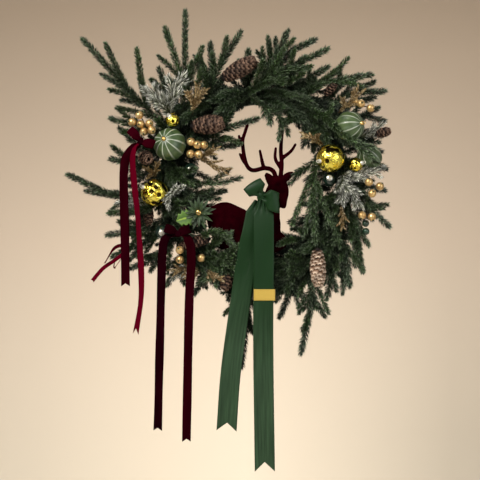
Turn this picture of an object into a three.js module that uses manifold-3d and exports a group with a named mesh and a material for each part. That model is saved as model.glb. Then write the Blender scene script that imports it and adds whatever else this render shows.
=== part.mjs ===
import * as THREE from 'three';
import { mergeVertices } from 'three/addons/utils/BufferGeometryUtils.js';
import Module from 'manifold-3d';

const wasm = await Module();
wasm.setup();

// Driving dimensions, in millimetres. A place on the wreath is written [x, z, out]: x to the right
// and z up from the centre of the ring, and out is how far it stands in front of the wall.
const ringRadius = 225;
const railSpacing = 32;
const wire = 5;
const crossBars = 6;
const hoopSides = 24;
const clearance = 0.3;
const leastDetail = 0.05;

const needleLength = 17;
const needleStep = 25;
const bareStem = 40;
const bareSide = 14;
const leastRise = 0.2;
const lifts = [0, 6, -5, 12, -10, 18, 24, 30];
const shootCore = 2.2;
const coverStep = 17;
const coreStep = 8;

const greenRibbon = 50;
const velvetRibbon = 22;
const thinRibbon = 10;
const ribbonThickness = 1;

const berryRadius = 10;
const pickRadius = 1.5;
const pickDepth = 14;
const antlerRadius = 4.5;

// Colours and finishes.
const looks = {
  wire: { color: 0x2c332b, roughness: 0.5, metalness: 0.7 },
  fir: { color: 0x1d3b26, roughness: 0.75, metalness: 0 },
  frosted: { color: 0xb9bda8, roughness: 0.85, metalness: 0 },
  gilded: { color: 0xa9803f, roughness: 0.45, metalness: 0.5 },
  cone: { color: 0x4c2f22, roughness: 0.85, metalness: 0 },
  berry: { color: 0xc89346, roughness: 0.3, metalness: 0.7 },
  greenGlass: { color: 0x4f7a45, roughness: 0.45, metalness: 0 },
  darkGlass: { color: 0x10201a, roughness: 0.15, metalness: 0 },
  gold: { color: 0xd9a91e, roughness: 0.2, metalness: 1 },
  leaf: { color: 0x6f9a3c, roughness: 0.6, metalness: 0 },
  flock: { color: 0x3a0412, roughness: 0.95, metalness: 0 },
  greenSatin: { color: 0x235434, roughness: 0.6, metalness: 0 },
  burgundyVelvet: { color: 0x5a0a1e, roughness: 0.9, metalness: 0 },
  label: { color: 0xd9b23a, roughness: 0.5, metalness: 0 },
};

const place = ([x, z, out]) => new THREE.Vector3(x, -out, z);
const radians = THREE.MathUtils.degToRad;
const onRing = (degrees, out, radius = ringRadius) => {
  const angle = radians(degrees);
  return [radius * Math.cos(angle), radius * Math.sin(angle), out];
};

// Seeded draws, so that the model is the same each time.
let seed = 20;
function draw(low, high) {
  seed = (seed * 1664525 + 1013904223) % 4294967296;
  return low + ((high - low) * seed) / 4294967296;
}

// Closed meshes become solids, which can be joined and cut.
function solidOf(vertices, triangles) {
  return new wasm.Manifold(new wasm.Mesh({
    numProp: 3,
    vertProperties: new Float32Array(vertices.flatMap((v) => [v.x, v.y, v.z])),
    triVerts: new Uint32Array(triangles.flat()),
  }));
}

function solidFrom(geometry, matrix = new THREE.Matrix4()) {
  const bare = geometry.clone().applyMatrix4(matrix);
  bare.deleteAttribute('normal');
  bare.deleteAttribute('uv');
  const merged = mergeVertices(bare, 1e-4);
  return new wasm.Manifold(new wasm.Mesh({
    numProp: 3,
    vertProperties: new Float32Array(merged.attributes.position.array),
    triVerts: new Uint32Array(merged.index.array),
  }));
}

const join = (solids) => solids.reduce((all, one) => all.add(one));

function boxesMeet(a, b) {
  const p = a.boundingBox();
  const q = b.boundingBox();
  return [0, 1, 2].every((i) => p.min[i] < q.max[i] && q.min[i] < p.max[i]);
}

const meets = (a, b) => boxesMeet(a, b) && a.intersect(b).volume() > 0.001;

// The largest body of a solid, without the scraps that a cut leaves.
function largest(solid) {
  const bodies = solid.decompose();
  return bodies.reduce((best, one) => (one.volume() > best.volume() ? one : best));
}

const middleOf = (points) => points
  .reduce((sum, point) => sum.add(point), new THREE.Vector3())
  .divideScalar(points.length);

const normalOf = ([a, b, c]) => b.clone().sub(a).cross(c.clone().sub(a)).normalize();

// A tube along a curve, with a ring of corners at each stop, a share of its length. It starts on
// the corners of base, or on a ring of its own. Where it is turned, every other ring is turned by
// half a side, which spreads its faces all round. Each face keeps where it lies on the tube.
function tube({ curve, stops, sides = 3, radiusAt, tip, base = null, turned = true }) {
  const corners = base ? [...base] : [];
  const faces = [];
  const tangents = stops.map((t) => curve.getTangentAt(t));
  const centres = stops.map((t) => curve.getPointAt(t));
  const upright = Math.abs(tangents[0].y) > 0.9;
  const turn = (i) => (turned && i > 1 && i % 2 === 0 ? 0.5 : 0);
  let normal = new THREE.Vector3(upright ? 1 : 0, upright ? 0 : 1, 0);
  if (base) normal = base[0].clone().sub(centres[0]);
  stops.forEach((stop, i) => {
    normal = normal.clone().addScaledVector(tangents[i], -normal.dot(tangents[i])).normalize();
    if (base && i === 0) return;
    const binormal = tangents[i].clone().cross(normal);
    for (let k = 0; k < sides; k += 1) {
      const angle = (2 * Math.PI * (k + turn(i))) / sides;
      corners.push(centres[i].clone()
        .addScaledVector(normal, radiusAt(stop) * Math.cos(angle))
        .addScaledVector(binormal, radiusAt(stop) * Math.sin(angle)));
    }
  });
  const last = stops.length - 1;
  const addFace = (v, stretch, pointsBack) => {
    const t = (stops[stretch] + stops[Math.min(stretch + 1, last)]) / 2;
    const outward = middleOf(v.map((n) => corners[n])).sub(curve.getPointAt(t));
    outward.addScaledVector(tangents[stretch], -outward.dot(tangents[stretch])).normalize();
    faces.push({ v, stretch, pointsBack, t, outward, along: tangents[stretch] });
  };
  for (let i = 0; i < last; i += 1) {
    const low = (k) => i * sides + (k % sides);
    const high = (k) => (i + 1) * sides + ((k + (turn(i) ? 1 : 0)) % sides);
    for (let k = 0; k < sides; k += 1) {
      addFace([low(k), low(k + 1), high(k)], i, false);
      addFace([high(k), low(k + 1), high(k + 1)], i, true);
    }
  }
  corners.push(centres[last].clone().addScaledVector(tangents[last], tip));
  for (let k = 0; k < sides; k += 1) {
    addFace([last * sides + k, last * sides + ((k + 1) % sides), corners.length - 1], last, false);
  }
  const cap = [];
  for (let k = 1; k < sides - 1; k += 1) cap.push([0, k + 1, k]);
  return { corners, faces, cap };
}

const tubeSolid = ({ corners, faces, cap }) => solidOf(corners, [...cap, ...faces.map(({ v }) => v)]);

// The triangles of a body whose faces are drawn out: pointOf gives the point that a face is drawn
// out to, and nothing where it stays flat.
function drawnOut(corners, faces, pointOf) {
  return faces.flatMap((face) => {
    const point = pointOf(face, face.v.map((n) => corners[n]));
    if (!point) return [face.v];
    corners.push(point);
    return face.v.map((v, n) => [v, face.v[(n + 1) % 3], corners.length - 1]);
  });
}

// Evenly spaced shares of a length, from one share to the end.
const evenStops = (count, from = 0) => Array.from(
  { length: count + 1 },
  (_, n) => Math.min(1, from + ((1 - from) * n) / count),
);

// A rod through places, or with grow the room round it.
function rod(places, { radius, grow = 0, sides = 3, step = 400 }) {
  const curve = places.length > 2
    ? new THREE.CatmullRomCurve3(places.map(place))
    : new THREE.LineCurve3(...places.map(place));
  return tubeSolid(tube({
    curve,
    stops: evenStops(Math.max(1, Math.round(curve.getLength() / step))),
    sides,
    radiusAt: () => radius + grow / Math.cos(Math.PI / sides),
    tip: radius * 0.6 + grow,
    turned: false,
  }));
}

// A body drawn through sections [x, z, out, half height, half thickness], for the animal's parts.
function bodyThrough(sections, sides = 8) {
  const depth = new THREE.Vector3(0, 1, 0);
  const centres = sections.map(place);
  const vertices = [];
  const triangles = [];
  sections.forEach(([, , , high, thick], i) => {
    const along = centres[Math.min(i + 1, centres.length - 1)].clone()
      .sub(centres[Math.max(i - 1, 0)]);
    along.y = 0;
    const up = depth.clone().cross(along.normalize());
    for (let k = 0; k < sides; k += 1) {
      const angle = (2 * Math.PI * k) / sides;
      vertices.push(centres[i].clone()
        .addScaledVector(up, high * Math.cos(angle))
        .addScaledVector(depth, thick * Math.sin(angle)));
    }
  });
  for (let i = 0; i < sections.length - 1; i += 1) {
    for (let k = 0; k < sides; k += 1) {
      const [a, b] = [i * sides + k, i * sides + ((k + 1) % sides)];
      triangles.push([a, b, a + sides], [b, b + sides, a + sides]);
    }
  }
  const last = (sections.length - 1) * sides;
  for (let k = 1; k < sides - 1; k += 1) {
    triangles.push([0, k + 1, k], [last, last + k, last + k + 1]);
  }
  return solidOf(vertices, triangles);
}

// A ribbon through places, flat along the direction across, with a notch cut in its end. pinch
// says how it is gathered: at its start, at both ends, or nowhere.
const gathered = {
  nowhere: () => 1,
  start: (t) => Math.min(1, 0.4 + 6 * t),
  ends: (t) => 0.4 + 0.6 * Math.min(1, 1.6 * Math.sin(Math.PI * t)),
};

function ribbon({ places, across, width, steps, notch = 0, pinch = 'nowhere' }) {
  const curve = new THREE.CatmullRomCurve3(places.map(place));
  const corners = [[-1, 1], [1, 1], [1, -1], [-1, -1]];
  const vertices = [];
  const triangles = [];
  for (let i = 0; i <= steps; i += 1) {
    const along = curve.getTangentAt(i / steps);
    const wide = place(across);
    wide.addScaledVector(along, -wide.dot(along)).normalize();
    const face = along.clone().cross(wide);
    const half = (width / 2) * gathered[pinch](i / steps);
    corners.forEach(([side, front]) => vertices.push(curve.getPointAt(i / steps)
      .addScaledVector(wide, side * half)
      .addScaledVector(face, (front * ribbonThickness) / 2)));
  }
  const end = steps * 4;
  const [inFront, behind] = [end + 4, end + 5];
  [[0, 1], [3, 2]].forEach(([a, b]) => vertices.push(vertices[end + a].clone()
    .lerp(vertices[end + b], 0.5)
    .addScaledVector(curve.getTangentAt(1), -notch)));
  for (let i = 0; i < steps; i += 1) {
    for (let k = 0; k < 4; k += 1) {
      const [a, b] = [i * 4 + k, i * 4 + ((k + 1) % 4)];
      const [c, d] = [a + 4, b + 4];
      const split = [inFront, null, behind][k];
      if (i === steps - 1 && split) triangles.push([a, c, split], [a, split, b], [b, split, d]);
      else if (k < 2) triangles.push([a, c, b], [b, c, d]);
      else triangles.push([a, c, d], [a, d, b]);
    }
  }
  triangles.push([0, 1, 2], [0, 2, 3]);
  triangles.push([end, end + 3, behind], [end, behind, inFront]);
  triangles.push([inFront, behind, end + 2], [inFront, end + 2, end + 1]);
  return solidOf(vertices, triangles);
}

// A ball, turned about its own axis so that its seams differ from its neighbours'.
function ball([x, z, out], radius, columns, rows) {
  const matrix = new THREE.Matrix4().makeTranslation(x, -out, z);
  return solidFrom(new THREE.SphereGeometry(radius, columns, rows), matrix);
}

function berry([x, z, out], radius) {
  const matrix = new THREE.Matrix4().makeTranslation(x, -out, z);
  return solidFrom(new THREE.IcosahedronGeometry(radius, 0), matrix);
}

// The wire frame: two hoops, flat against the wall, joined by cross bars.
function wireFrame() {
  const hoop = (radius) => {
    const corner = wire / 2 / Math.cos(Math.PI / 6);
    const points = [];
    for (let k = 0; k <= 6; k += 1) {
      const angle = (Math.PI * k) / 3;
      points.push(new THREE.Vector2(radius + corner * Math.cos(angle), corner * Math.sin(angle)));
    }
    const geometry = new THREE.LatheGeometry(points, hoopSides);
    return solidFrom(geometry, new THREE.Matrix4().makeTranslation(0, -wire / 2, 0));
  };
  const bars = [];
  for (let n = 0; n < crossBars; n += 1) {
    const length = railSpacing;
    const angle = (2 * Math.PI * (n + 0.5)) / crossBars;
    const matrix = new THREE.Matrix4().makeRotationY(-angle)
      .multiply(new THREE.Matrix4().makeTranslation(ringRadius, -wire / 2, 0))
      .multiply(new THREE.Matrix4().makeRotationZ(Math.PI / 2));
    bars.push(solidFrom(new THREE.CylinderGeometry(wire / 2.6, wire / 2.6, length, 4), matrix));
  }
  return join([hoop(ringRadius - railSpacing / 2), hoop(ringRadius + railSpacing / 2), ...bars]);
}

// The lumpy core of a bunch: the stems bound together along the front of the frame. It lies on both
// hoops, and its outline is [distance from the ring's middle line, distance from the wall].
const coreOutline = [[18, wire + clearance], [20, 15], [10, 25], [-10, 25], [-20, 15],
  [-18, wire + clearance]];

function bunchCore([from, to]) {
  const gap = THREE.MathUtils.radToDeg(clearance / ringRadius);
  const steps = Math.round((to - from) / coreStep);
  const sides = coreOutline.length;
  const corners = [];
  const faces = [];
  for (let i = 0; i <= steps; i += 1) {
    const degrees = from + gap / 2 + ((to - from - gap) * i) / steps;
    coreOutline.forEach(([wide, out], k) => {
      const swell = k % 5 === 0 ? 1 : draw(0.86, 1.12);
      corners.push(place(onRing(degrees, out * swell, ringRadius + wide * swell)));
    });
  }
  for (let i = 0; i < steps; i += 1) {
    const flow = Math.cos(radians(from + i * coreStep)) > 0 ? -1 : 1;
    const angle = radians(from + i * coreStep + 90 * flow);
    const along = new THREE.Vector3(Math.cos(angle), 0, Math.sin(angle));
    for (let k = 0; k < sides; k += 1) {
      const [a, b] = [i * sides + k, i * sides + ((k + 1) % sides)];
      [[a, a + sides, b], [b, a + sides, b + sides]].forEach((v) => {
        const outward = normalOf(v.map((n) => corners[n]));
        faces.push({ v, outward, along, t: 0, core: true, needled: k > 0 && k < 4 });
      });
    }
  }
  const last = steps * sides;
  for (let k = 1; k < sides - 1; k += 1) {
    faces.push({ v: [0, k, k + 1] }, { v: [last, last + k + 1, last + k] });
  }
  return { corners, faces };
}

// A shoot from a face of a body through places, which are points. It is bare at first, and the
// face is its foot. Nothing comes of it where crossed tells that it would cross something.
function shootFrom(body, host, places, { bare, step, core }, crossed) {
  const base = host.v.map((n) => body.corners[n]);
  const curve = new THREE.CatmullRomCurve3([middleOf(base), ...places]);
  if (normalOf(base).dot(curve.getTangentAt(0)) < leastRise) return null;
  const length = curve.getLength();
  const first = Math.min(bare / length, 0.5);
  const made = tube({
    curve,
    stops: [0, ...evenStops(Math.max(1, Math.round((length * (1 - first)) / step)), first)],
    base,
    radiusAt: (t) => core * (1 - 0.45 * t),
    tip: 10,
  });
  const solid = tubeSolid(made);
  return crossed(solid) ? null : { host, made, solid };
}

// The first shoot that crosses nothing, tried from each host and bent ever further out or back.
function clearShoot(body, hosts, bentBy, options, crossed) {
  for (const lift of lifts) {
    for (const host of hosts) {
      const shoot = shootFrom(body, host, bentBy(lift), options, crossed);
      if (shoot) return shoot;
    }
  }
  return null;
}

// Joins a shoot to its body: its faces take the place of the face that it starts from.
function attach(body, { host, made }) {
  const offset = body.corners.length - 3;
  const faces = made.faces.map((face) => ({
    ...face,
    v: face.v.map((n) => (n < 3 ? host.v[n] : n + offset)),
    needled: face.stretch > 0 && face.pointsBack,
  }));
  body.corners.push(...made.corners.slice(3));
  body.faces.splice(body.faces.indexOf(host), 1, ...faces);
  return faces;
}

// Side shoots of a stem. Each tip is [share of the stem where it starts, x, z, out].
function growSides(body, stemFaces, tips, options, solids, crossed) {
  tips.forEach(([share, x, z, out]) => {
    const end = place([x, z, out]);
    const hosts = stemFaces
      .filter((face) => body.faces.includes(face) && face.along)
      .map((face) => {
        const toEnd = end.clone().sub(middleOf(face.v.map((n) => body.corners[n]))).normalize();
        return { face, rank: 3 * Math.abs(face.t - share) - face.outward.dot(toEnd) };
      })
      .sort((a, b) => a.rank - b.rank)
      .slice(0, 6)
      .map(({ face }) => face);
    const bentBy = (lift) => {
      const start = middleOf(hosts[0].v.map((n) => body.corners[n]));
      const raised = place([x, z, out + lift]);
      return [start.lerp(raised, 0.5).addScaledVector(hosts[0].along, 6), raised];
    };
    const shoot = clearShoot(body, hosts, bentBy, { ...options, bare: bareSide }, crossed);
    if (!shoot) return;
    attach(body, shoot);
    solids.push(shoot.solid);
  });
}

// Draws the faces out to needles that lean towards the tip, and leaves flat those whose needles
// would cross something.
function withNeedles(body, needle, crossed) {
  const standing = [];
  return drawnOut(body.corners, body.faces, ({ needled, t, outward, along }, corners) => {
    if (!needled) return null;
    const reach = needle * draw(0.85, 1.1) * (1 - 0.25 * t);
    const point = middleOf(corners)
      .addScaledVector(outward, reach * 0.8)
      .addScaledVector(along, reach * 0.6);
    const spike = solidOf([...corners, point], [[0, 2, 1], [0, 1, 3], [1, 2, 3], [2, 0, 3]]);
    if (crossed(spike) || standing.some((other) => meets(spike, other))) return null;
    standing.push(spike);
    return point;
  });
}

// A thin wire from an ornament back into the bound stems, at its own place on the ring or at one
// given in degrees. It may stand out beyond what it holds, by a share of its length.
const degreesOf = ([x, z]) => THREE.MathUtils.radToDeg(Math.atan2(z, x));

function pick(at, grow = 0, { degrees = degreesOf(at), beyond = 0 } = {}) {
  const foot = onRing(degrees, pickDepth - grow);
  const head = at.map((value, i) => value + (value - foot[i]) * beyond);
  return rod([head, foot], { radius: pickRadius, grow });
}

// A glass or metal ball with its cap, on its wire. The cap faces the direction toCap.
function bauble({ at, radius, toCap, cap = 6, columns = 8, rows = 6 }, grow) {
  const direction = place(toCap).normalize();
  const turn = new THREE.Quaternion().setFromUnitVectors(new THREE.Vector3(0, 1, 0), direction);
  const middle = place(at).addScaledVector(direction, radius - 3);
  const matrix = new THREE.Matrix4().compose(middle, turn, new THREE.Vector3(1, 1, 1));
  const collar = new THREE.CylinderGeometry(cap + grow, cap + grow, 13 + 2 * grow, 6);
  return join([
    ball(at, radius + grow, columns, rows),
    solidFrom(collar, matrix),
    pick(at, grow),
  ]);
}

// A fir or pine cone from its base to its tip, with scales that stand out of it.
function cone({ base, tip, width }, grow) {
  const curve = new THREE.LineCurve3(place(base), place(tip));
  const length = curve.getLength();
  const scale = width * 0.13;
  const radiusAt = (t) => (width / 2 - scale) * Math.sin(Math.PI * (0.16 + 0.74 * t)) ** 0.8;
  const smooth = grow > 0;
  const { corners, faces, cap } = tube({
    curve,
    stops: evenStops(smooth ? 4 : Math.max(4, Math.round(length / (width * 0.34)))),
    sides: smooth ? 7 : 6,
    radiusAt: (t) => radiusAt(t) + (smooth ? scale * 1.25 + grow : 0),
    tip: smooth ? 5 : 3,
  });
  const triangles = drawnOut(corners, faces, ({ pointsBack, outward, along }, face) => (
    pointsBack && !smooth
      ? middleOf(face).addScaledVector(outward, scale * 1.1).addScaledVector(along, scale * 0.7)
      : null));
  return join([solidOf(corners, [...cap, ...triangles]), pick(base, grow)]);
}

// Berries on short stems that meet behind them, on one wire.
function berries({ at, joint, radius = berryRadius }, grow) {
  const knot = new THREE.Matrix4().makeTranslation(...place(joint).toArray());
  return join([
    solidFrom(new THREE.OctahedronGeometry(6 + grow), knot),
    ...at.map((one) => berry(one, radius + grow)),
    ...at.map((one) => rod([joint, one], { radius: pickRadius, grow })),
    pick(joint, grow),
  ]);
}

// The lying deer, flocked, with its head turned to the right, on two wires.
function deer(grow) {
  const part = (sections, sides) => bodyThrough(
    sections.map(([x, z, out, high, thick]) => [x, z, out, high + grow, thick + grow]),
    sides,
  );
  return join([
    part([[-119, -98, 40, 18, 14], [-108, -96, 40, 44, 27], [-80, -98, 40, 57, 34],
      [-48, -104, 41, 50, 34], [-10, -116, 44, 42, 32], [28, -112, 48, 43, 30],
      [54, -108, 50, 32, 22], [64, -108, 50, 16, 11]], 8),
    part([[18, -128, 50, 34, 26], [30, -84, 54, 33, 25], [40, -46, 58, 23, 19],
      [46, -14, 60, 19, 17], [52, 2, 61, 13, 13]], 6),
    part([[60, 23, 60, 8, 8], [59, 14, 61, 15, 13], [60, 2, 63, 20, 17], [64, -18, 66, 21, 18],
      [66, -37, 69, 16, 15], [69, -49, 71, 11, 11], [71, -56, 72, 7, 8], [71, -60, 72, 3, 4]], 8),
    part([[52, -4, 62, 6, 5], [41, 9, 66, 10, 5], [31, 23, 68, 6, 4], [26, 31, 68, 2, 2]], 4),
    part([[66, 8, 58, 6, 5], [78, 19, 57, 9, 5], [90, 28, 56, 6, 4], [97, 33, 56, 2, 2]], 4),
    part([[-98, -140, 48, 14, 12], [-60, -148, 60, 18, 16], [-22, -146, 64, 15, 13],
      [6, -152, 64, 9, 9]], 6),
    part([[50, -126, 52, 18, 15], [66, -144, 55, 15, 14], [44, -158, 60, 13, 12],
      [14, -162, 62, 9, 9]], 6),
    part([[-106, -66, 40, 9, 7], [-124, -55, 38, 8, 6], [-131, -44, 38, 3, 3]], 4),
    rod([[-70, -140, 40], onRing(252, pickDepth - grow)], { radius: 2 * pickRadius, grow, sides: 5 }),
    rod([[40, -140, 50], onRing(280, pickDepth - grow)], { radius: 2 * pickRadius, grow, sides: 5 }),
  ]);
}

// An antler: a beam and its tines, each [start, end] or longer.
function antler(branches, grow) {
  return join(branches.map((places, n) => {
    const radius = antlerRadius - (n > 0 ? 0.7 : 0);
    return rod(places, { radius, grow, sides: 4, step: 30 });
  }));
}

// A bow: loops that run out from the knot and back, and its knot.
function bow({ knot, loops, width, knotSize }, grow) {
  const made = loops.map(({ places, across }) => ribbon({
    places,
    across,
    width: width + 2 * grow,
    steps: 5,
    pinch: 'ends',
  }));
  const matrix = new THREE.Matrix4().makeTranslation(knot[0], -knot[2], knot[1])
    .scale(new THREE.Vector3(...knotSize).addScalar(grow));
  made.push(solidFrom(new THREE.SphereGeometry(1, 5, 4), matrix));
  return join(made);
}

// Narrow leaves in a flat star round a small cap, and one broad lobed leaf beside it.
function rosette({ centre, reach, leaves }, grow) {
  const blades = [];
  for (let n = 0; n < leaves; n += 1) {
    const angle = (2 * Math.PI * n) / leaves + 0.2;
    const long = reach * (n % 2 ? 0.8 : 1);
    const [dx, dz] = [Math.cos(angle), Math.sin(angle)];
    const at = (share, out) => [centre[0] + dx * long * share, centre[1] + dz * long * share,
      centre[2] + out];
    const curve = new THREE.CatmullRomCurve3([at(0.16, 0), at(0.5, 7), at(1, 3 + (n % 3) * 3)]
      .map(place));
    blades.push(tubeSolid(tube({
      curve,
      stops: evenStops(2),
      radiusAt: (t) => 3.6 * Math.sin(Math.PI * (0.1 + 0.8 * t)) + grow,
      tip: 4 + grow,
    })));
  }
  const outline = new THREE.Shape();
  const lobes = [[0, 0], [-10, 16], [-18, 12], [-20, 26], [-30, 20], [-34, 32], [-46, 22],
    [-40, 12], [-54, 6], [-40, 0], [-48, -12], [-32, -10], [-30, -20], [-20, -12], [-12, -16]];
  outline.setFromPoints(lobes.map(([x, z]) => new THREE.Vector2(x, z)));
  const leaf = new THREE.ExtrudeGeometry(outline, { depth: 2 + 2 * grow, bevelEnabled: false });
  const matrix = new THREE.Matrix4()
    .makeTranslation(centre[0] + 8, -centre[2] + grow, centre[1] - 4)
    .multiply(new THREE.Matrix4().makeRotationX(Math.PI / 2));
  blades.push(solidFrom(leaf, matrix));
  blades.push(ball(centre, 9 + grow, 6, 4), pick(centre, grow, { degrees: 201 }));
  return join(blades);
}

// The fir bunches, named by where they are bound to the ring, with the span of the ring in degrees.
const bunches = [
  {
    name: 'fir_top_left',
    span: [99, 152],
    sprays: [
      { stem: [[-195, 112, 28], [-270, 190, 42], [-345, 270, 44], [-432, 367, 34]], tips: [
        [0.45, -385, 280, 26], [0.55, -372, 350, 62], [0.3, -295, 337, 66], [0.36, -335, 215, 30]] },
      { stem: [[-170, 147, 26], [-215, 225, 44], [-240, 290, 40]], tips: [[0.45, -258, 262, 60]] },
      { stem: [[-147, 170, 28], [-180, 262, 60], [-225, 392, 50]], tips: [
        [0.36, -175, 437, 34], [0.3, -132, 342, 60]] },
      { stem: [[-118, 190, 26], [-108, 262, 40], [-112, 355, 36]], tips: [[0.4, -150, 325, 26]] },
      { stem: [[-132, 182, 24], [-97, 280, 52], [-37, 382, 46]], tips: [[0.55, -70, 365, 70]] },
      { stem: [[-190, 120, 30], [-262, 140, 50], [-360, 167, 40]], tips: [[0.55, -337, 185, 62]] },
      { stem: [[-180, 135, 26], [-135, 128, 44], [-70, 143, 50], [5, 167, 44]], tips: [
        [0.4, -55, 190, 60]] },
      { stem: [[-196, 110, 24], [-110, 98, 42], [-46, 102, 36]], tips: [[0.5, -64, 118, 54]] },
    ],
  },
  {
    name: 'fir_top',
    span: [62, 99],
    sprays: [
      { stem: [[-22, 225, 24], [-20, 290, 34], [-17, 337, 34]] },
      { stem: [[0, 226, 26], [35, 285, 52], [82, 385, 44]], tips: [[0.5, 95, 362, 66]] },
      { stem: [[15, 224, 24], [67, 320, 36], [150, 367, 32]], tips: [[0.25, 7, 332, 52]] },
      { stem: [[40, 221, 28], [95, 292, 62], [180, 340, 56]], tips: [[0.5, 125, 322, 40]] },
      { stem: [[60, 216, 24], [120, 260, 40], [182, 297, 36]], tips: [[0.6, 150, 262, 58]] },
      { stem: [[-30, 222, 30], [20, 262, 68], [80, 286, 78], [132, 288, 74]], tips: [
        [0.4, 70, 252, 84]] },
    ],
  },
  {
    name: 'fir_top_right',
    span: [20, 62],
    sprays: [
      { stem: [[112, 195, 28], [150, 245, 60], [215, 262, 66], [290, 277, 50]], tips: [
        [0.3, 200, 285, 80], [0.6, 262, 245, 82]] },
      { stem: [[150, 168, 26], [235, 228, 36], [325, 238, 32]], tips: [[0.5, 300, 262, 28]] },
      { stem: [[190, 120, 26], [262, 172, 28], [325, 165, 24]], tips: [[0.4, 310, 195, 30]] },
      { stem: [[120, 190, 34], [170, 168, 80], [232, 112, 104], [300, 56, 92]], tips: [
        [0.3, 190, 195, 86], [0.7, 292, 92, 84]] },
      { stem: [[130, 184, 22], [92, 172, 54], [70, 150, 70]], tips: [] },
      { stem: [[165, 155, 24], [150, 138, 60], [128, 120, 74]], tips: [] },
    ],
  },
  {
    name: 'fir_right',
    span: [-38, 20],
    sprays: [
      { stem: [[222, 30, 26], [285, -2, 34], [325, -12, 28]] },
      { stem: [[222, -20, 28], [275, -48, 42], [336, -102, 34]], tips: [[0.45, 318, -58, 56]] },
      { stem: [[218, -30, 26], [250, -95, 50], [252, -200, 42]], tips: [
        [0.35, 285, -150, 40], [0.5, 268, -215, 62]] },
      { stem: [[205, -80, 28], [228, -160, 50], [238, -252, 40]], tips: [[0.45, 222, -270, 26]] },
      { stem: [[195, -105, 26], [200, -180, 46], [182, -282, 34]], tips: [[0.4, 204, -208, 70]] },
      { stem: [[212, 60, 34], [150, 42, 84], [144, -40, 92], [150, -140, 82]], tips: [
        [0.35, 92, -98, 74], [0.4, 193, -102, 76], [0.55, 122, -128, 62]] },
      { stem: [[224, -5, 30], [188, -62, 66], [172, -135, 58]], tips: [[0.4, 210, -150, 74]] },
    ],
  },
  {
    name: 'fir_bottom_right',
    span: [-88, -38],
    sprays: [
      { stem: [[168, -149, 26], [112, -135, 46], [48, -122, 40]], tips: [[0.5, 60, -148, 58]] },
      { stem: [[135, -178, 28], [100, -190, 58], [52, -232, 54]], tips: [[0.4, 40, -190, 72]] },
      { stem: [[110, -196, 26], [85, -232, 48], [54, -288, 42]], tips: [[0.3, 92, -238, 66]] },
      { stem: [[142, -172, 24], [128, -220, 40], [104, -268, 34]] },
      { stem: [[120, -190, 24], [92, -262, 30], [64, -330, 26]] },
      { stem: [[145, -172, 24], [148, -240, 46], [138, -320, 40], [117, -420, 30]], tips: [
        [0.5, 168, -312, 50], [0.4, 112, -318, 52], [0.62, 120, -362, 60]] },
      { stem: [[168, -148, 26], [190, -215, 40], [205, -262, 30]] },
    ],
  },
  {
    name: 'fir_bottom',
    span: [-172, -88],
    sprays: [
      { stem: [[-6, -224, 26], [-18, -300, 34], [-26, -380, 32], [-34, -455, 28]], tips: [
        [0.4, -8, -368, 44], [0.55, -44, -420, 50]] },
      { stem: [[-120, -190, 30], [-105, -150, 66], [-80, -128, 76], [-48, -158, 70]], tips: [
        [0.45, -62, -120, 60]] },
      { stem: [[-105, -200, 30], [-92, -180, 70], [-60, -170, 80], [-22, -176, 72]], tips: [
        [0.5, -36, -150, 64], [0.5, -30, -204, 66]] },
      { stem: [[-100, -202, 28], [-70, -212, 62], [-16, -214, 60]], tips: [[0.4, -30, -236, 50]] },
      { stem: [[-70, -214, 24], [-60, -250, 34], [-66, -286, 30]] },
      { stem: [[-118, -190, 24], [-130, -235, 34], [-152, -272, 30]] },
      { stem: [[-165, -155, 26], [-200, -215, 40], [-222, -250, 34]], tips: [[0.4, -178, -246, 52]] },
      { stem: [[-190, -122, 26], [-245, -180, 46], [-312, -208, 40]], tips: [
        [0.4, -262, -214, 28], [0.5, -300, -178, 62]] },
      { stem: [[-205, -92, 28], [-275, -140, 44], [-357, -178, 36]], tips: [[0.4, -322, -192, 24]] },
      { stem: [[-212, -75, 26], [-290, -110, 40], [-370, -125, 32]], tips: [[0.5, -340, -92, 54]] },
      { stem: [[-220, -42, 28], [-290, -66, 50], [-362, -70, 42]] },
      { stem: [[-210, -80, 34], [-195, -62, 66], [-160, -30, 62]] },
    ],
  },
  {
    name: 'fir_left',
    span: [152, 188],
    sprays: [
      { stem: [[-225, 12, 26], [-335, -28, 40], [-470, 26, 32]], tips: [
        [0.5, -425, -14, 26], [0.42, -392, 22, 56]] },
      { stem: [[-220, 45, 26], [-290, 52, 44], [-360, 66, 38]], tips: [[0.5, -357, 96, 54]] },
      { stem: [[-212, 75, 26], [-290, 100, 36], [-340, 142, 30]] },
      { stem: [[-224, 12, 24], [-150, -26, 36], [-78, -14, 34]], tips: [[0.5, -92, -34, 50]] },
      { stem: [[-215, 60, 30], [-190, 20, 74], [-160, 0, 84]], tips: [[0.4, -150, 38, 78]] },
    ],
  },
];

// Everything that is wired to the bunches. build makes a piece, or with grow the room that it needs.
const antlers = {
  antler_left: [
    [[54, 12, 62], [45, 35, 62], [25, 42, 62], [-7, 37, 60], [-23, 56, 58], [-31, 106, 55],
      [-25, 132, 54], [-19, 150, 54]],
    [[-20, 50, 58], [-30, 62, 60], [-38, 78, 62]],
    [[-31, 104, 55], [-38, 114, 57], [-40, 124, 58]],
    [[22, 41, 62], [17, 62, 66], [12, 86, 68]],
  ],
  antler_right: [
    [[63, 12, 56], [67, 52, 52], [65, 85, 48], [67, 120, 44], [70, 142, 42]],
    [[64, 44, 52], [51, 66, 55], [52, 93, 58]],
    [[66, 66, 50], [90, 85, 50], [102, 103, 50]],
  ],
};

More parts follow.
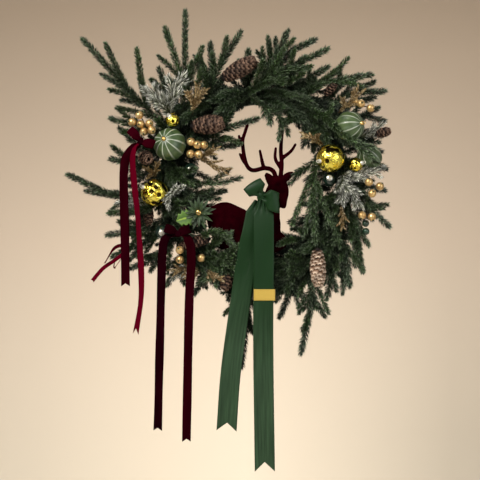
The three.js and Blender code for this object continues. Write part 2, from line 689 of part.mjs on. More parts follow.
const pieces = [
  ...Object.entries({
    green_ball_left: { at: [-212, 100, 80], radius: 40, toCap: [-14, 12, 40] },
    green_ball_right: { at: [235, 145, 78], radius: 36.5, toCap: [31, 6, 24] },
    green_ball_low: { at: [288, 70, 38], radius: 32, toCap: [-20, 28, 22] },
  }).map(([name, made]) => ({ name, look: 'greenGlass', build: (grow) => bauble(made, grow) })),
  ...Object.entries({
    gold_bauble_right: { at: [187, 65, 85], radius: 35, toCap: [-28, -8, 20] },
    gold_bauble_small: { at: [250, 50, 72], radius: 18, toCap: [16, 4, 10], columns: 8, rows: 5 },
    gold_bauble_left: { at: [-250, -20, 80], radius: 34, toCap: [-29, 14, 20] },
    gold_bauble_top: { at: [-205, 160, 86], radius: 17.5, toCap: [-9, 11, 20], columns: 8, rows: 5 },
  }).map(([name, made]) => ({ name, look: 'gold', build: (grow) => bauble(made, grow) })),
  ...Object.entries({
    dark_bauble_left: { at: [-160, 37, 60], radius: 18, toCap: [-1, 0, 10] },
    dark_bauble_right: { at: [185, 13, 60], radius: 18, toCap: [0, 2, 10] },
    dark_bauble_low: { at: [-232, -118, 68], radius: 17, toCap: [0, -1, 10] },
  }).map(([name, made]) => ({
    name, look: 'darkGlass', build: (grow) => bauble({ ...made, cap: 8, columns: 8, rows: 5 }, grow),
  })),
  ...Object.entries({
    cone_top: { base: [-82, 264, 62], tip: [-8, 306, 74], width: 50 },
    cone_left: { base: [-160, 145, 68], tip: [-92, 152, 80], width: 54 },
    cone_dark: { base: [-284, 74, 36], tip: [-266, 64, 90], width: 40 },
    cone_shaded: { base: [-268, -50, 34], tip: [-266, -92, 58], width: 30 },
    cone_bottom: { base: [-112, -134, 78], tip: [-180, -152, 82], width: 34 },
    cone_low: { base: [-60, -216, 56], tip: [-74, -254, 72], width: 34 },
    cone_hanging: { base: [154, -158, 84], tip: [157, -243, 86], width: 46 },
    cone_small: { base: [302, 126, 52], tip: [330, 134, 62], width: 29 },
    cone_hidden: { base: [176, 226, 46], tip: [196, 248, 66], width: 26 },
  }).map(([name, made]) => ({ name, look: 'cone', build: (grow) => cone(made, grow) })),
  ...Object.entries({
    berries_top_left: { joint: [-276, 152, 58], at: [[-287, 172, 86], [-305, 155, 84],
      [-284, 150, 80], [-262, 151, 88], [-256, 134, 96], [-276, 131, 84]] },
    berries_left: { joint: [-146, 92, 58], at: [[-159, 106, 88], [-143, 98, 94], [-127, 98, 84],
      [-140, 74, 92], [-160, 76, 84]] },
    berries_top_right: { joint: [256, 196, 54], at: [[248, 206, 78], [262, 200, 90],
      [287, 190, 80]] },
    berries_right: { joint: [280, -40, 50], at: [[282, 6, 84], [310, -4, 78], [290, -22, 88],
      [266, -76, 76], [290, -80, 80]] },
    berries_bottom: { joint: [-176, -176, 66], at: [[-186, -162, 104], [-186, -186, 94],
      [-134, -182, 84]] },
  }).map(([name, made]) => ({ name, look: 'berry', build: (grow) => berries(made, grow) })),
  {
    name: 'dark_berries',
    look: 'darkGlass',
    build: (grow) => berries({
      joint: [266, -106, 40], radius: 9, at: [[277, -96, 56], [278, -116, 54]],
    }, grow),
  },
  {
    name: 'leaf_rosette',
    look: 'leaf',
    build: (grow) => rosette({ centre: [-140, -70, 84], reach: 40, leaves: 8 }, grow),
  },
  ...Object.entries(antlers).map(([name, branches]) => ({
    name, look: 'flock', build: (grow) => antler(branches, grow),
  })),
  { name: 'deer', look: 'flock', build: deer },
  {
    name: 'green_bow',
    look: 'greenSatin',
    build: (grow) => join([
      bow({
        knot: [15, -29, 96],
        knotSize: [10, 7, 12],
        width: greenRibbon,
        loops: [
          { places: [[14, -26, 100], [2, -12, 112], [-9, 2, 108], [-6, -2, 96], [10, -22, 93]],
            across: [40, 27, 0] },
          { places: [[18, -31, 100], [38, -40, 114], [58, -47, 109], [44, -42, 97], [20, -33, 94]],
            across: [8, -50, 0] },
        ],
      }, grow),
      rod([[15, -29, 96], [36, -56, 58 - grow]], { radius: pickRadius, grow }),
    ]),
  },
  {
    name: 'green_tail_left',
    look: 'greenSatin',
    build: (grow) => ribbon({
      places: [[8, -44, 93], [-5, -108, 96], [-18, -167, 93], [-36, -287, 89], [-60, -462, 85],
        [-71, -611, 83]],
      across: [50, 6, 0],
      width: greenRibbon + 2 * grow,
      steps: 9,
      notch: 20,
      pinch: 'start',
    }),
  },
  {
    name: 'green_tail_right',
    look: 'greenSatin',
    build: (grow) => ribbon({
      places: [[20, -44, 99], [21, -110, 104], [21, -200, 102], [20, -400, 95], [24, -711, 89]],
      across: [50, 0, 0],
      width: greenRibbon + 2 * grow,
      steps: 9,
      notch: 24,
      pinch: 'start',
    }),
  },
  {
    name: 'velvet_bow_upper',
    look: 'burgundyVelvet',
    build: (grow) => join([
      bow({
        knot: [-281, 104, 116],
        knotSize: [7, 9, 9],
        width: velvetRibbon,
        loops: [
          { places: [[-282, 107, 120], [-296, 122, 130], [-308, 134, 124], [-297, 123, 114],
            [-282, 106, 112]], across: [15, 15, 0] },
          { places: [[-280, 103, 120], [-262, 99, 130], [-247, 96, 124], [-262, 99, 115],
            [-280, 103, 112]], across: [-10, -22, 0] },
        ],
      }, grow),
      ribbon({
        places: [[-282, 102, 116], [-298, 84, 118], [-301, 37, 112], [-291, -60, 105],
          [-287, -125, 100], [-281, -265, 92], [-296, -370, 90]],
        across: [1, 0, 0.5],
        width: velvetRibbon + 2 * grow,
        steps: 9,
        notch: 8,
        pinch: 'start',
      }),
      ribbon({
        places: [[-282, 102, 112], [-312, 74, 110], [-324, 27, 102], [-322, -125, 93],
          [-321, -252, 89]],
        across: [1, 0, -0.3],
        width: velvetRibbon + 2 * grow,
        steps: 6,
        notch: 7,
        pinch: 'start',
      }),
      pick([-281, 104, 116], grow, { degrees: 163 }),
    ]),
  },
  {
    name: 'velvet_bow_lower',
    look: 'burgundyVelvet',
    build: (grow) => join([
      bow({
        knot: [-190, -122, 112],
        knotSize: [7, 8, 8],
        width: velvetRibbon,
        loops: [
          { places: [[-192, -120, 114], [-208, -112, 124], [-222, -108, 118], [-208, -112, 108],
            [-192, -121, 108]], across: [8, 22, 0] },
          { places: [[-188, -121, 114], [-174, -114, 124], [-160, -110, 120], [-174, -114, 112],
            [-188, -121, 109]], across: [-8, 22, 0] },
        ],
      }, grow),
      ribbon({
        places: [[-194, -124, 112], [-220, -134, 114], [-228, -165, 108], [-232, -262, 100],
          [-241, -609, 92]],
        across: [1, 0, 0.3],
        width: velvetRibbon + 2 * grow,
        steps: 8,
        notch: 7,
        pinch: 'start',
      }),
      ribbon({
        places: [[-186, -124, 112], [-166, -134, 118], [-157, -178, 110], [-163, -297, 102],
          [-170, -636, 94]],
        across: [1, 0, -0.2],
        width: velvetRibbon + 2 * grow,
        steps: 8,
        notch: 7,
        pinch: 'start',
      }),
      pick([-190, -122, 112], grow, { degrees: 214 }),
    ]),
  },
  {
    name: 'thin_bow',
    look: 'burgundyVelvet',
    build: (grow) => join([
      ribbon({
        places: [[-328, -168, 70], [-332, -152, 74], [-352, -160, 76], [-375, -196, 72]],
        across: [0.4, 0.3, 1],
        width: thinRibbon + 2 * grow,
        steps: 5,
      }),
      ribbon({
        places: [[-326, -170, 70], [-350, -188, 66], [-380, -209, 64], [-407, -240, 60]],
        across: [0.3, -0.5, 1],
        width: thinRibbon + 2 * grow,
        steps: 4,
      }),
      ribbon({
        places: [[-328, -170, 68], [-340, -192, 60], [-352, -207, 56], [-350, -190, 52],
          [-330, -172, 58]],
        across: [0.4, 0.3, 1],
        width: thinRibbon + 2 * grow,
        steps: 5,
      }),
      ball([-327, -169, 66], 6 + grow, 6, 4),
      pick([-327, -169, 66], grow, { degrees: 210 }),
    ]),
  },
];

// Sprays wired on over the fir: fir tips that reach into the hole, frosted fir, and gilded cedar.
const overlays = [
  { name: 'fir_inner_left', look: 'fir', needle: 17,
    stem: [[-222, 30, 40], [-150, 8, 56], [-96, 4, 60], [-38, 18, 46]], tips: [
      [0.55, -66, 36, 64]] },
  { name: 'fir_inner_top', look: 'fir', needle: 17,
    stem: [[-12, 226, 40], [20, 196, 66], [62, 168, 76], [60, 116, 70]], tips: [
      [0.35, 40, 155, 60]] },
  { name: 'fir_inner_right', look: 'fir', needle: 17,
    stem: [[200, 108, 40], [150, 62, 50], [80, -2, 44]], tips: [[0.5, 98, 28, 60]] },
  { name: 'frosted_top_left', look: 'frosted', needle: 24,
    stem: [[-205, 172, 58], [-238, 208, 76], [-272, 236, 74]], tips: [[0.3, -180, 270, 66]] },
  { name: 'frosted_right', look: 'frosted', needle: 16,
    stem: [[218, 30, 66], [218, 0, 84], [220, -46, 78]], tips: [
      [0.12, 264, -56, 78], [0.1, 250, 22, 80], [0.15, 320, 44, 50]] },
  { name: 'frosted_upper_right', look: 'frosted', needle: 14,
    stem: [[268, 120, 40], [295, 136, 34], [325, 157, 30]] },
  { name: 'frosted_bottom', look: 'frosted', needle: 15,
    stem: [[-150, -204, 50], [-180, -216, 66], [-206, -236, 62]] },
  { name: 'frosted_left', look: 'frosted', needle: 14,
    stem: [[-262, -44, 50], [-305, -44, 62], [-342, -44, 56]] },
  { name: 'frosted_sprig', look: 'frosted', needle: 11,
    stem: [[-205, -30, 60], [-196, -8, 88], [-214, -34, 94], [-214, -58, 84]] },
  { name: 'gilded_top', look: 'gilded', needle: 12,
    stem: [[-160, 168, 56], [-150, 210, 78], [-136, 256, 74]], tips: [
      [0.35, -172, 228, 86], [0.55, -118, 236, 84]] },
  { name: 'gilded_inner', look: 'gilded', needle: 10,
    stem: [[-150, 62, 58], [-118, 76, 78], [-88, 94, 74]], tips: [[0.2, -66, 26, 72]] },
  { name: 'gilded_cluster', look: 'gilded', needle: 9,
    stem: [[-250, 22, 50], [-254, 34, 84]], tips: [
      [0.6, -276, 44, 82], [0.6, -238, 56, 86], [0.6, -268, 16, 84]] },
  { name: 'gilded_middle', look: 'gilded', needle: 12,
    stem: [[170, 100, 70], [145, 112, 92], [114, 128, 88]], tips: [[0.3, 158, 122, 100]] },
  { name: 'gilded_upper_right', look: 'gilded', needle: 11,
    stem: [[208, 180, 66], [240, 208, 88], [272, 236, 84]], tips: [
      [0.25, 212, 216, 86], [0.5, 244, 232, 98]] },
  { name: 'gilded_right', look: 'gilded', needle: 9,
    stem: [[214, -50, 64], [218, -80, 82], [214, -112, 78]], tips: [] },
  { name: 'gilded_low', look: 'gilded', needle: 10,
    stem: [[-128, -206, 60], [-104, -226, 80], [-78, -240, 76]], tips: [
      [0.3, -118, -240, 72], [0.1, -178, -234, 80], [0.1, -214, -212, 80]] },
];

// Ornaments and ribbons first. The deer is bored for its antlers and for the wire of the green bow,
// and the tails stop at the bow's knot.
const built = pieces.map(({ name, look, build }) => ({
  name, look, solid: build(0), room: build(clearance),
}));
const find = (name) => built.find((one) => one.name === name);
[...Object.keys(antlers), 'green_bow'].forEach((name) => {
  find('deer').solid = find('deer').solid.subtract(find(name).room);
});
['green_tail_left', 'green_tail_right'].forEach((name) => {
  find(name).solid = largest(find(name).solid.subtract(find('green_bow').room));
});

// The overlays stand on wires, for which the bunches behind them are bored.
const anchors = overlays.map(({ stem: [root] }) => ({
  solid: pick(root, 0, { beyond: 0.1 }),
  room: pick(root, clearance, { beyond: 0.1 }),
}));

// Short shoots that cover a core and lie along the ring from the top down.
function coverShoots([from, to]) {
  const covers = [];
  for (let degrees = from + 5; degrees < to - 3; degrees += coverStep) {
    const flow = Math.cos(radians(degrees)) > 0 ? -1 : 1;
    const side = covers.length % 2 ? 1 : -1;
    covers.push({ stem: [
      onRing(degrees, 25, ringRadius + 8 * side),
      onRing(degrees + 9 * flow, 40, ringRadius + 16 * side),
      onRing(degrees + 20 * flow, 46, ringRadius + 34 * side),
    ] });
  }
  return covers;
}

// Each bunch is one body: its core, its own sprays and the short shoots, all drawn out of faces. It
// starts its draws anew, so that a change to one bunch leaves the others as they are.
const firOptions = { bare: bareStem, step: needleStep, core: shootCore };
const cores = bunches.map(({ span }, index) => {
  seed = 20 + index;
  return bunchCore(span);
});
const coreSolids = cores.map(({ corners, faces }) => solidOf(corners, faces.map(({ v }) => v)));
const greens = [];

function hostsFor(body, [root, next]) {
  const start = place(onRing(degreesOf(root), root[2]));
  const toNext = place(next).sub(start).normalize();
  return body.faces
    .filter((face) => face.core)
    .map((face) => ({
      face,
      rank: middleOf(face.v.map((n) => body.corners[n])).distanceTo(start)
        - 30 * face.outward.dot(toNext),
    }))
    .sort((a, b) => a.rank - b.rank)
    .slice(0, 8)
    .map(({ face }) => face);
}

bunches.forEach(({ name, span, sprays }, index) => {
  seed = 40 + index;
  const body = cores[index];
  const obstacles = [
    ...greens.map((one) => one.solid),
    ...coreSolids.filter((_, n) => n !== index),
    ...built.map(({ room }) => room),
    ...anchors.map(({ room }) => room),
  ];
  const solids = [coreSolids[index]];
  const crossed = (solid) => [...obstacles, ...solids].some((other) => meets(solid, other));
  [...sprays, ...coverShoots(span)].forEach(({ stem, tips = [] }) => {
    const bentBy = (lift) => stem.slice(1).map(([x, z, out]) => place([x, z, out + lift]));
    const shoot = clearShoot(body, hostsFor(body, stem), bentBy, firOptions, crossed);
    if (!shoot) return;
    solids.push(shoot.solid);
    growSides(body, attach(body, shoot), tips, firOptions, solids, crossed);
  });
  let solid = solidOf(body.corners, withNeedles(body, needleLength, crossed));
  [...built, ...anchors].forEach(({ room }) => {
    if (boxesMeet(solid, room)) solid = solid.subtract(room);
  });
  greens.push({ name, look: 'fir', solid: largest(solid) });
});

overlays.forEach(({ name, look, needle, stem, tips = [] }, index) => {
  seed = index;
  const options = { bare: needle * 0.6, step: needle * 1.6, core: 1.8 };
  const obstacles = [
    ...built.map(({ room }) => room),
    ...greens.map((one) => one.solid),
    ...anchors.filter((_, n) => n !== index).map(({ room }) => room),
  ];
  const crossed = (solid) => obstacles.some((other) => meets(solid, other));
  for (const lift of lifts) {
    const raised = stem.map(([x, z, out], i) => place([x, z, out + (i > 0 ? lift : 0)]));
    const curve = new THREE.CatmullRomCurve3(raised);
    const stretches = Math.max(2, Math.round(curve.getLength() / options.step));
    const { corners, faces, cap } = tube({
      curve, stops: evenStops(stretches), radiusAt: (t) => 1.8 * (1 - 0.45 * t), tip: needle * 0.6,
    });
    const body = { corners, faces: faces.map((face) => ({ ...face, needled: face.pointsBack })) };
    const capFaces = cap.map((v) => ({ v }));
    const shown = solidOf(corners, [...cap, ...faces.map(({ v }) => v)]);
    if (!crossed(shown)) {
      const solids = [shown];
      const crossedHere = (solid) => crossed(solid) || solids.some((other) => meets(solid, other));
      growSides(body, body.faces.slice(), tips, options, solids, crossedHere);
      body.faces.push(...capFaces);
      const leafy = solidOf(body.corners, withNeedles(body, needle, crossedHere));
      const solid = leafy.add(anchors[index].solid);
      built.push({ name, look, solid, room: solid });
      break;
    }
  }
});

// The bare label lies on the right tail of the green bow.
const labelPlace = [23, -273];
const labelSize = [53, 1, 28];
const tailBehind = find('green_tail_right').solid.intersect(solidFrom(
  new THREE.BoxGeometry(labelSize[0], 400, labelSize[2]),
  new THREE.Matrix4().makeTranslation(labelPlace[0], 0, labelPlace[1]),
));
const labelDepth = tailBehind.boundingBox().min[1] - clearance - labelSize[1] / 2;
built.push({
  name: 'label',
  look: 'label',
  solid: solidFrom(
    new THREE.BoxGeometry(...labelSize),
    new THREE.Matrix4().makeTranslation(labelPlace[0], labelDepth, labelPlace[1]),
  ),
});

// The origin is where the hook holds the frame: under the outer hoop at its top, at the wall.
const hookHeight = ringRadius + railSpacing / 2 - wire / 2;
const wreath = new THREE.Group();
wreath.position.z = -hookHeight;

function addMesh(name, look, solid) {
  const mesh = solid.simplify(leastDetail).getMesh();
  const geometry = new THREE.BufferGeometry();
  geometry.setAttribute('position', new THREE.BufferAttribute(mesh.vertProperties, 3));
  geometry.setIndex(new THREE.BufferAttribute(mesh.triVerts, 1));
  const made = new THREE.Mesh(geometry, new THREE.MeshStandardMaterial(looks[look]));
  made.name = name;
  wreath.add(made);
}

addMesh('wire_frame', 'wire', wireFrame());
[...greens, ...built].forEach(({ name, look, solid }) => addMesh(name, look, solid));

const model = new THREE.Group();
model.add(wreath);

export default model;
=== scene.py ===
import math

import bpy
import numpy as np
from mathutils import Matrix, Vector
from mathutils.bvhtree import BVHTree


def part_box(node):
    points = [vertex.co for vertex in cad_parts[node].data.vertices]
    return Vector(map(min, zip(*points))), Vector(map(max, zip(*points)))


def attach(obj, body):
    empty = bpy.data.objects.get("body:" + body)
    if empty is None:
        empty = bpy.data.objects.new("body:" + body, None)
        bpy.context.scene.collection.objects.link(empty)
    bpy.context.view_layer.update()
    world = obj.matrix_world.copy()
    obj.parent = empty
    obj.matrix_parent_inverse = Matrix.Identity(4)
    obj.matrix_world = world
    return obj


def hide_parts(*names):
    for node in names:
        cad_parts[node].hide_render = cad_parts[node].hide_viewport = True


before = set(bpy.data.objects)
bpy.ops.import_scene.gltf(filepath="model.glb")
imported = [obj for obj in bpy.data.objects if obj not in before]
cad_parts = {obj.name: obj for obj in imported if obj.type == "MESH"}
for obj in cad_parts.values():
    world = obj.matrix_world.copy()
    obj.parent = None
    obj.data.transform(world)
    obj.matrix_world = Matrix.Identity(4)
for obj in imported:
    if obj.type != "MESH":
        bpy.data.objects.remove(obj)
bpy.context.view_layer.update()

# The wire ring: two flat hoops of steel wire joined by cross bars and dipped in dark green lacquer.
# Everything else is bound or wired to it, and its outer hoop hangs on a hook.
RING_RADIUS = 225
HOOK_HEIGHT = 238.5


def spot(x, z, out):
    """A place on the wreath, in mm right and up from the ring's centre and out from the wall."""
    return np.array((x, -out, z - HOOK_HEIGHT)) / 1000


def on_ring(degrees, out, radius=RING_RADIUS):
    angle = math.radians(degrees)
    return (radius * math.cos(angle), radius * math.sin(angle), out)


def add_node(finish, kind, values=None, **settings):
    node = finish.node_tree.nodes.new(kind)
    for name, value in settings.items():
        setattr(node, name, value)
    for name, value in (values or {}).items():
        node.inputs[name].default_value = value
    return node


def connect(finish, start, end):
    finish.node_tree.links.new(start, end)


def shader_of(finish):
    return finish.node_tree.nodes["Principled BSDF"]


def new_finish(name, colour, roughness, **sockets):
    finish = bpy.data.materials.new(name)
    finish.use_nodes = True
    shader = shader_of(finish)
    shader.inputs["Base Color"].default_value = (*colour, 1)
    shader.inputs["Roughness"].default_value = roughness
    for socket, value in sockets.items():
        shader.inputs[socket.replace("_", " ")].default_value = value
    return finish


def lumps_of(finish, scale, detail=3, stretch=(1, 1, 1)):
    """Smooth noise over the piece, from 0 to 1; scale is in lumps to the metre."""
    where = add_node(finish, "ShaderNodeTexCoord")
    fit = add_node(finish, "ShaderNodeMapping", {"Scale": stretch})
    lumps = add_node(finish, "ShaderNodeTexNoise", {"Scale": scale, "Detail": detail})
    connect(finish, where.outputs["Object"], fit.inputs["Vector"])
    connect(finish, fit.outputs["Vector"], lumps.inputs["Vector"])
    return lumps.outputs["Fac"]


def shades(finish, factor, stops):
    """A colour picked by a factor: stops are (factor, colour), or (factor, brightness)."""
    ramp = add_node(finish, "ShaderNodeValToRGB")
    while len(ramp.color_ramp.elements) < len(stops):
        ramp.color_ramp.elements.new(0.5)
    for element, (position, colour) in zip(ramp.color_ramp.elements, stops):
        element.position = position
        element.color = (*(colour if isinstance(colour, tuple) else (colour,) * 3), 1)
    connect(finish, factor, ramp.inputs["Fac"])
    return ramp.outputs["Color"]


def paint(finish, colour):
    connect(finish, colour, shader_of(finish).inputs["Base Color"])


def bumps(finish, factor, depth):
    bump = add_node(finish, "ShaderNodeBump", {"Strength": 1.0, "Distance": depth})
    connect(finish, factor, bump.inputs["Height"])
    connect(finish, bump.outputs["Normal"], shader_of(finish).inputs["Normal"])


def mottled(name, colour, roughness, patches, stops, grain, depth, **sockets):
    """A finish with soft patches and a fine relief; patches and grain are in lumps to the metre."""
    finish = new_finish(name, colour, roughness, **sockets)
    paint(finish, shades(finish, lumps_of(finish, patches), stops))
    bumps(finish, lumps_of(finish, grain), depth)
    return finish


lacquered_wire = mottled("lacquered_wire", (0.02, 0.035, 0.02), 0.45, 60,
                         [(0.35, (0.012, 0.03, 0.014)), (0.7, (0.04, 0.05, 0.03))], 500, 0.0003, Metallic=0.3)
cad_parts["wire_frame"].material_slots[0].material = lacquered_wire

# Fir tips: moulded needles on wired stems, bound to the ring in seven stretches, each stem with side
# shoots. Painted shade makes them dark blue-green inside and painted light makes them fresher green
# in front; they leave room for the ornaments.
NEVER_IN_THE_WAY = ("wire", "fir", "frosted", "gilded")
corners, faces = [], []
for name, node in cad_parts.items():
    if not name.startswith(NEVER_IN_THE_WAY):
        faces += [[v + len(corners) for v in face.vertices] for face in node.data.polygons]
        corners += [corner.co.copy() for corner in node.data.vertices]
ornaments = BVHTree.FromPolygons(corners, faces)

NEEDLE_WIDTH = 0.0023
GOLDEN_ANGLE = math.radians(137.508)
BARE_FOOT = 0.04
TIP_CLOSES = 24
CLOSING_LENGTH = 7
SHORTENING_LENGTH = 14
WALL_GAP = 0.001


def curve_through(stops, between):
    """A smooth curve through the stops, with so many points from each stop to the next."""
    ends = [2 * stops[0] - stops[1], *stops, 2 * stops[-1] - stops[-2]]
    share = np.linspace(0, 1, between, endpoint=False)[:, None]
    stretches = [
        0.5 * (2 * b + (c - a) * share + (2 * a - 5 * b + 4 * c - d) * share**2
               + (3 * b - a - 3 * c + d) * share**3)
        for a, b, c, d in zip(ends, ends[1:], ends[2:], ends[3:])
    ]
    return np.concatenate([*stretches, [stops[-1]]])


def smooth_route(route, step):
    """Even points along a smooth curve through the route, in metres, and its direction at each."""
    fine = curve_through(np.array([spot(*place) for place in route]), 20)
    run = np.concatenate([[0], np.cumsum(np.linalg.norm(np.diff(fine, axis=0), axis=1))])
    even = np.linspace(0, run[-1], max(3, int(run[-1] / step) + 1))
    points = np.stack([np.interp(even, run, fine[:, k]) for k in range(3)], axis=1)
    directions = np.gradient(points, axis=0)
    directions /= np.linalg.norm(directions, axis=1)[:, None]
    return points, directions, run[-1]


def sideways(directions):
    """Two directions square to each one given: one in the wreath's plane, and one over it."""
    side = np.cross(directions, (0.0, 1.0, 0.0001))
    side /= np.linalg.norm(side, axis=1)[:, None]
    return side, np.cross(side, directions)


def closed_faces(rings, sides, pointed=False, inward=False):
    """The faces over rings of corners, closed by a flat face or, if pointed, a corner at each end."""
    quads = [(a, b, b + sides, a + sides) for i in range(rings - 1)
             for a, b in ((i * sides + k, i * sides + (k + 1) % sides) for k in range(sides))]
    last = (rings - 1) * sides
    if not pointed:
        return [*quads, tuple(reversed(range(sides))), tuple(range(last, rings * sides))]
    fans = [fan for a, b in ((k, (k + 1) % sides) for k in range(sides))
            for fan in ((last + sides, b, a), (last + sides + 1, last + a, last + b))]
    if inward:
        return [(b, a, d, c) for a, b, c, d in quads] + [(top, b, a) for top, a, b in fans]
    return quads + fans


def tube(points, directions, radii, sides):
    """Corners and faces of a closed tube along points."""
    side, over = sideways(directions)
    angles = 2 * np.pi * np.arange(sides) / sides
    rings = (points[:, None]
             + radii[:, None, None] * (np.cos(angles)[None, :, None] * side[:, None]
                                       + np.sin(angles)[None, :, None] * over[:, None]))
    corners = [*rings.reshape(-1, 3), points[0] - directions[0] * radii[0] * 0.4,
               points[-1] + directions[-1] * radii[-1] * 0.8]
    return np.array(corners), closed_faces(len(points), sides, pointed=True, inward=True)


def rod(route, radius, finish, end_radius=None, sides=6, step=0.012):
    points, directions, _ = smooth_route(route, step)
    radii = np.linspace(radius, end_radius or radius, len(points)) / 1000
    return (*tube(points, directions, radii, sides), finish)


def needles(route, length, per_mm, draws, lean=(60, 46), width=NEEDLE_WIDTH, painted_front_light=0.5, shade=1.0):
    """Needles all round a shoot, each a slim blade folded along its midrib. They lean forward by
    degrees, from the shoot's foot to its tip. Each corner's tone is (painted front light, along, own
    shade, 1): painted light that grows the nearer a shoot lies in front, and a random tone per needle
    times shade, which paints shade on shoots that lie behind."""
    points, directions, run = smooth_route(route, 0.003)
    count = int(run * 1000 * per_mm)
    at = BARE_FOOT + (1 - BARE_FOOT) * (np.arange(count) + draws.random(count)) / count
    whole = at * (len(points) - 1)
    low = np.minimum(whole.astype(int), len(points) - 2)
    part = (whole - low)[:, None]
    foot = points[low] * (1 - part) + points[low + 1] * part
    ahead = directions[low]
    side, over = sideways(ahead)
    turn = (GOLDEN_ANGLE * np.arange(count) + draws.normal(0, 0.35, count))[:, None]
    outward = np.cos(turn) * side + np.sin(turn) * over
    from_tip = (1 - at) * run * 1000
    closed = TIP_CLOSES * np.clip(1 - from_tip / CLOSING_LENGTH, 0, 1)
    tilt = lean[0] + (lean[1] - lean[0]) * at - closed + draws.normal(0, 7, count)
    tilt = np.radians(np.clip(tilt, 4, 88))[:, None]
    grow = np.cos(tilt) * ahead + np.sin(tilt) * outward
    shorter = 1 - 0.16 * np.clip(1 - from_tip / SHORTENING_LENGTH, 0, 1)
    reach = (length / 1000 * draws.uniform(0.74, 1.06, count) * shorter)[:, None]
    middle = foot + grow * reach * 0.6
    tip = foot + grow * reach + ahead * reach * 0.12
    across = np.cross(grow, outward)
    across /= np.linalg.norm(across, axis=1)[:, None]
    roll = draws.uniform(-0.9, 0.9, count)[:, None]
    flat = np.cross(grow, across)
    across, flat = (np.cos(roll) * across + np.sin(roll) * flat,
                    np.cos(roll) * flat - np.sin(roll) * across)
    half = width / 2 * draws.uniform(0.8, 1.15, count)[:, None]
    lifted = middle + 0.5 * half * flat
    corners = np.stack([foot, lifted + half * across, tip, lifted - half * across], axis=1)
    own = draws.random(count) * shade
    tones = np.zeros((count, 4, 4))
    tones[..., 0] = painted_front_light
    tones[:, (1, 3), 1] = 0.55
    tones[:, 2, 1] = 1
    tones[..., 2] = own[:, None]
    tones[..., 3] = 1
    return corners, tones


BLADE = np.array([(0, 1, 2), (0, 2, 3)])


def blades_body(made, finish):
    """One body of many needles, without those that would run through an ornament."""
    blades = np.concatenate([blade for blade, _ in made])
    tones = np.concatenate([tone for _, tone in made])
    off_the_wall = blades[:, :, 1].max(axis=1) < -WALL_GAP
    blades, tones = blades[off_the_wall], tones[off_the_wall]
    ways = blades[:, 2] - blades[:, 0]
    kept = [ornaments.ray_cast(foot, way, reach)[0] is None
            for foot, way, reach in zip(map(Vector, blades[:, 0]), map(Vector, ways),
                                        np.linalg.norm(ways, axis=1))]
    blades, tones = blades[kept], tones[kept]
    faces = (BLADE[None] + 4 * np.arange(len(blades))[:, None, None]).reshape(-1, 3)
    return blades.reshape(-1, 3), faces.tolist(), finish, tones.reshape(-1, 4)


def piece(name, bodies, slot, nodes=(), smooth=True):
    """One object out of bodies, each (corners, faces, finish[, tones]), that rides on the wreath."""
    finishes = list(dict.fromkeys(body[2] for body in bodies))
    corners, faces, indexes, tones = [], [], [], []
    for body in bodies:
        first = sum(len(one) for one in corners)
        corners.append(np.asarray(body[0], float))
        faces += [tuple(v + first for v in face) for face in body[1]]
        indexes += [finishes.index(body[2])] * len(body[1])
        tones.append(body[3] if len(body) > 3 else np.zeros((len(body[0]), 4)))
    mesh = bpy.data.meshes.new(name)
    mesh.from_pydata(np.concatenate(corners).tolist(), [], faces)
    mesh.polygons.foreach_set("material_index", indexes)
    mesh.polygons.foreach_set("use_smooth", [smooth] * len(faces))
    if any(len(body) > 3 for body in bodies):
        layer = mesh.color_attributes.new("tone", "FLOAT_COLOR", "POINT")
        layer.data.foreach_set("color", np.concatenate(tones).ravel())
    for finish in finishes:
        mesh.materials.append(finish)
    mesh.update()
    made = bpy.data.objects.new(name, mesh)
    bpy.context.scene.collection.objects.link(made)
    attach(made, "root")
    if nodes:
        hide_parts(*nodes)
    return made


def tone_of(finish):
    tone = add_node(finish, "ShaderNodeAttribute", attribute_name="tone", attribute_type="GEOMETRY")
    return tone.outputs["Color"]


def tone_parts(finish):
    parts = add_node(finish, "ShaderNodeSeparateColor")
    connect(finish, tone_of(finish), parts.inputs["Color"])
    return parts.outputs


def blend(finish, factor, first, second, kind="MIX"):
    """Mixes two colours, each a colour or a socket, by a factor."""
    mixed = add_node(finish, "ShaderNodeMix", data_type="RGBA", blend_type=kind)
    for given, socket in ((factor, mixed.inputs[0]), (first, mixed.inputs[6]), (second, mixed.inputs[7])):
        if isinstance(given, bpy.types.NodeSocket):
            connect(finish, given, socket)
        else:
            socket.default_value = (*given, 1) if isinstance(given, tuple) else given
    return mixed.outputs[2]


def times(finish, first, second):
    return blend(finish, 1.0, first, second, "MULTIPLY")


def needle_finish(name, deep, painted_front_light, foot, tip, roughness, tip_from, tip_share):
    """Needles that run from foot to tip, with deep green as painted shade and fresh green as painted light in
    front, each with its own random tone that also paints shade and highlights.
    """
    finish = new_finish(name, deep, roughness, Specular_IOR_Level=0.4)
    parts = tone_parts(finish)
    body = blend(finish, parts["Red"], deep, painted_front_light)
    near_foot = shades(finish, parts["Green"], [(0.0, 0.8), (0.3, 0.0)])
    body = blend(finish, near_foot, body, foot)
    near_tip = shades(finish, parts["Green"], [(tip_from, 0.0), (1.0, tip_share)])
    body = blend(finish, near_tip, body, tip)
    # Each needle's own random tone, spread wide so the darkest needles are painted shade and the brightest
    # painted highlights.
    needle_tone_and_painted_light = shades(finish, parts["Blue"], [(0.0, 0.12), (0.45, 0.6), (0.8, 1.3), (1.0, 2.2)])
    paint(finish, times(finish, body, needle_tone_and_painted_light))
    return finish
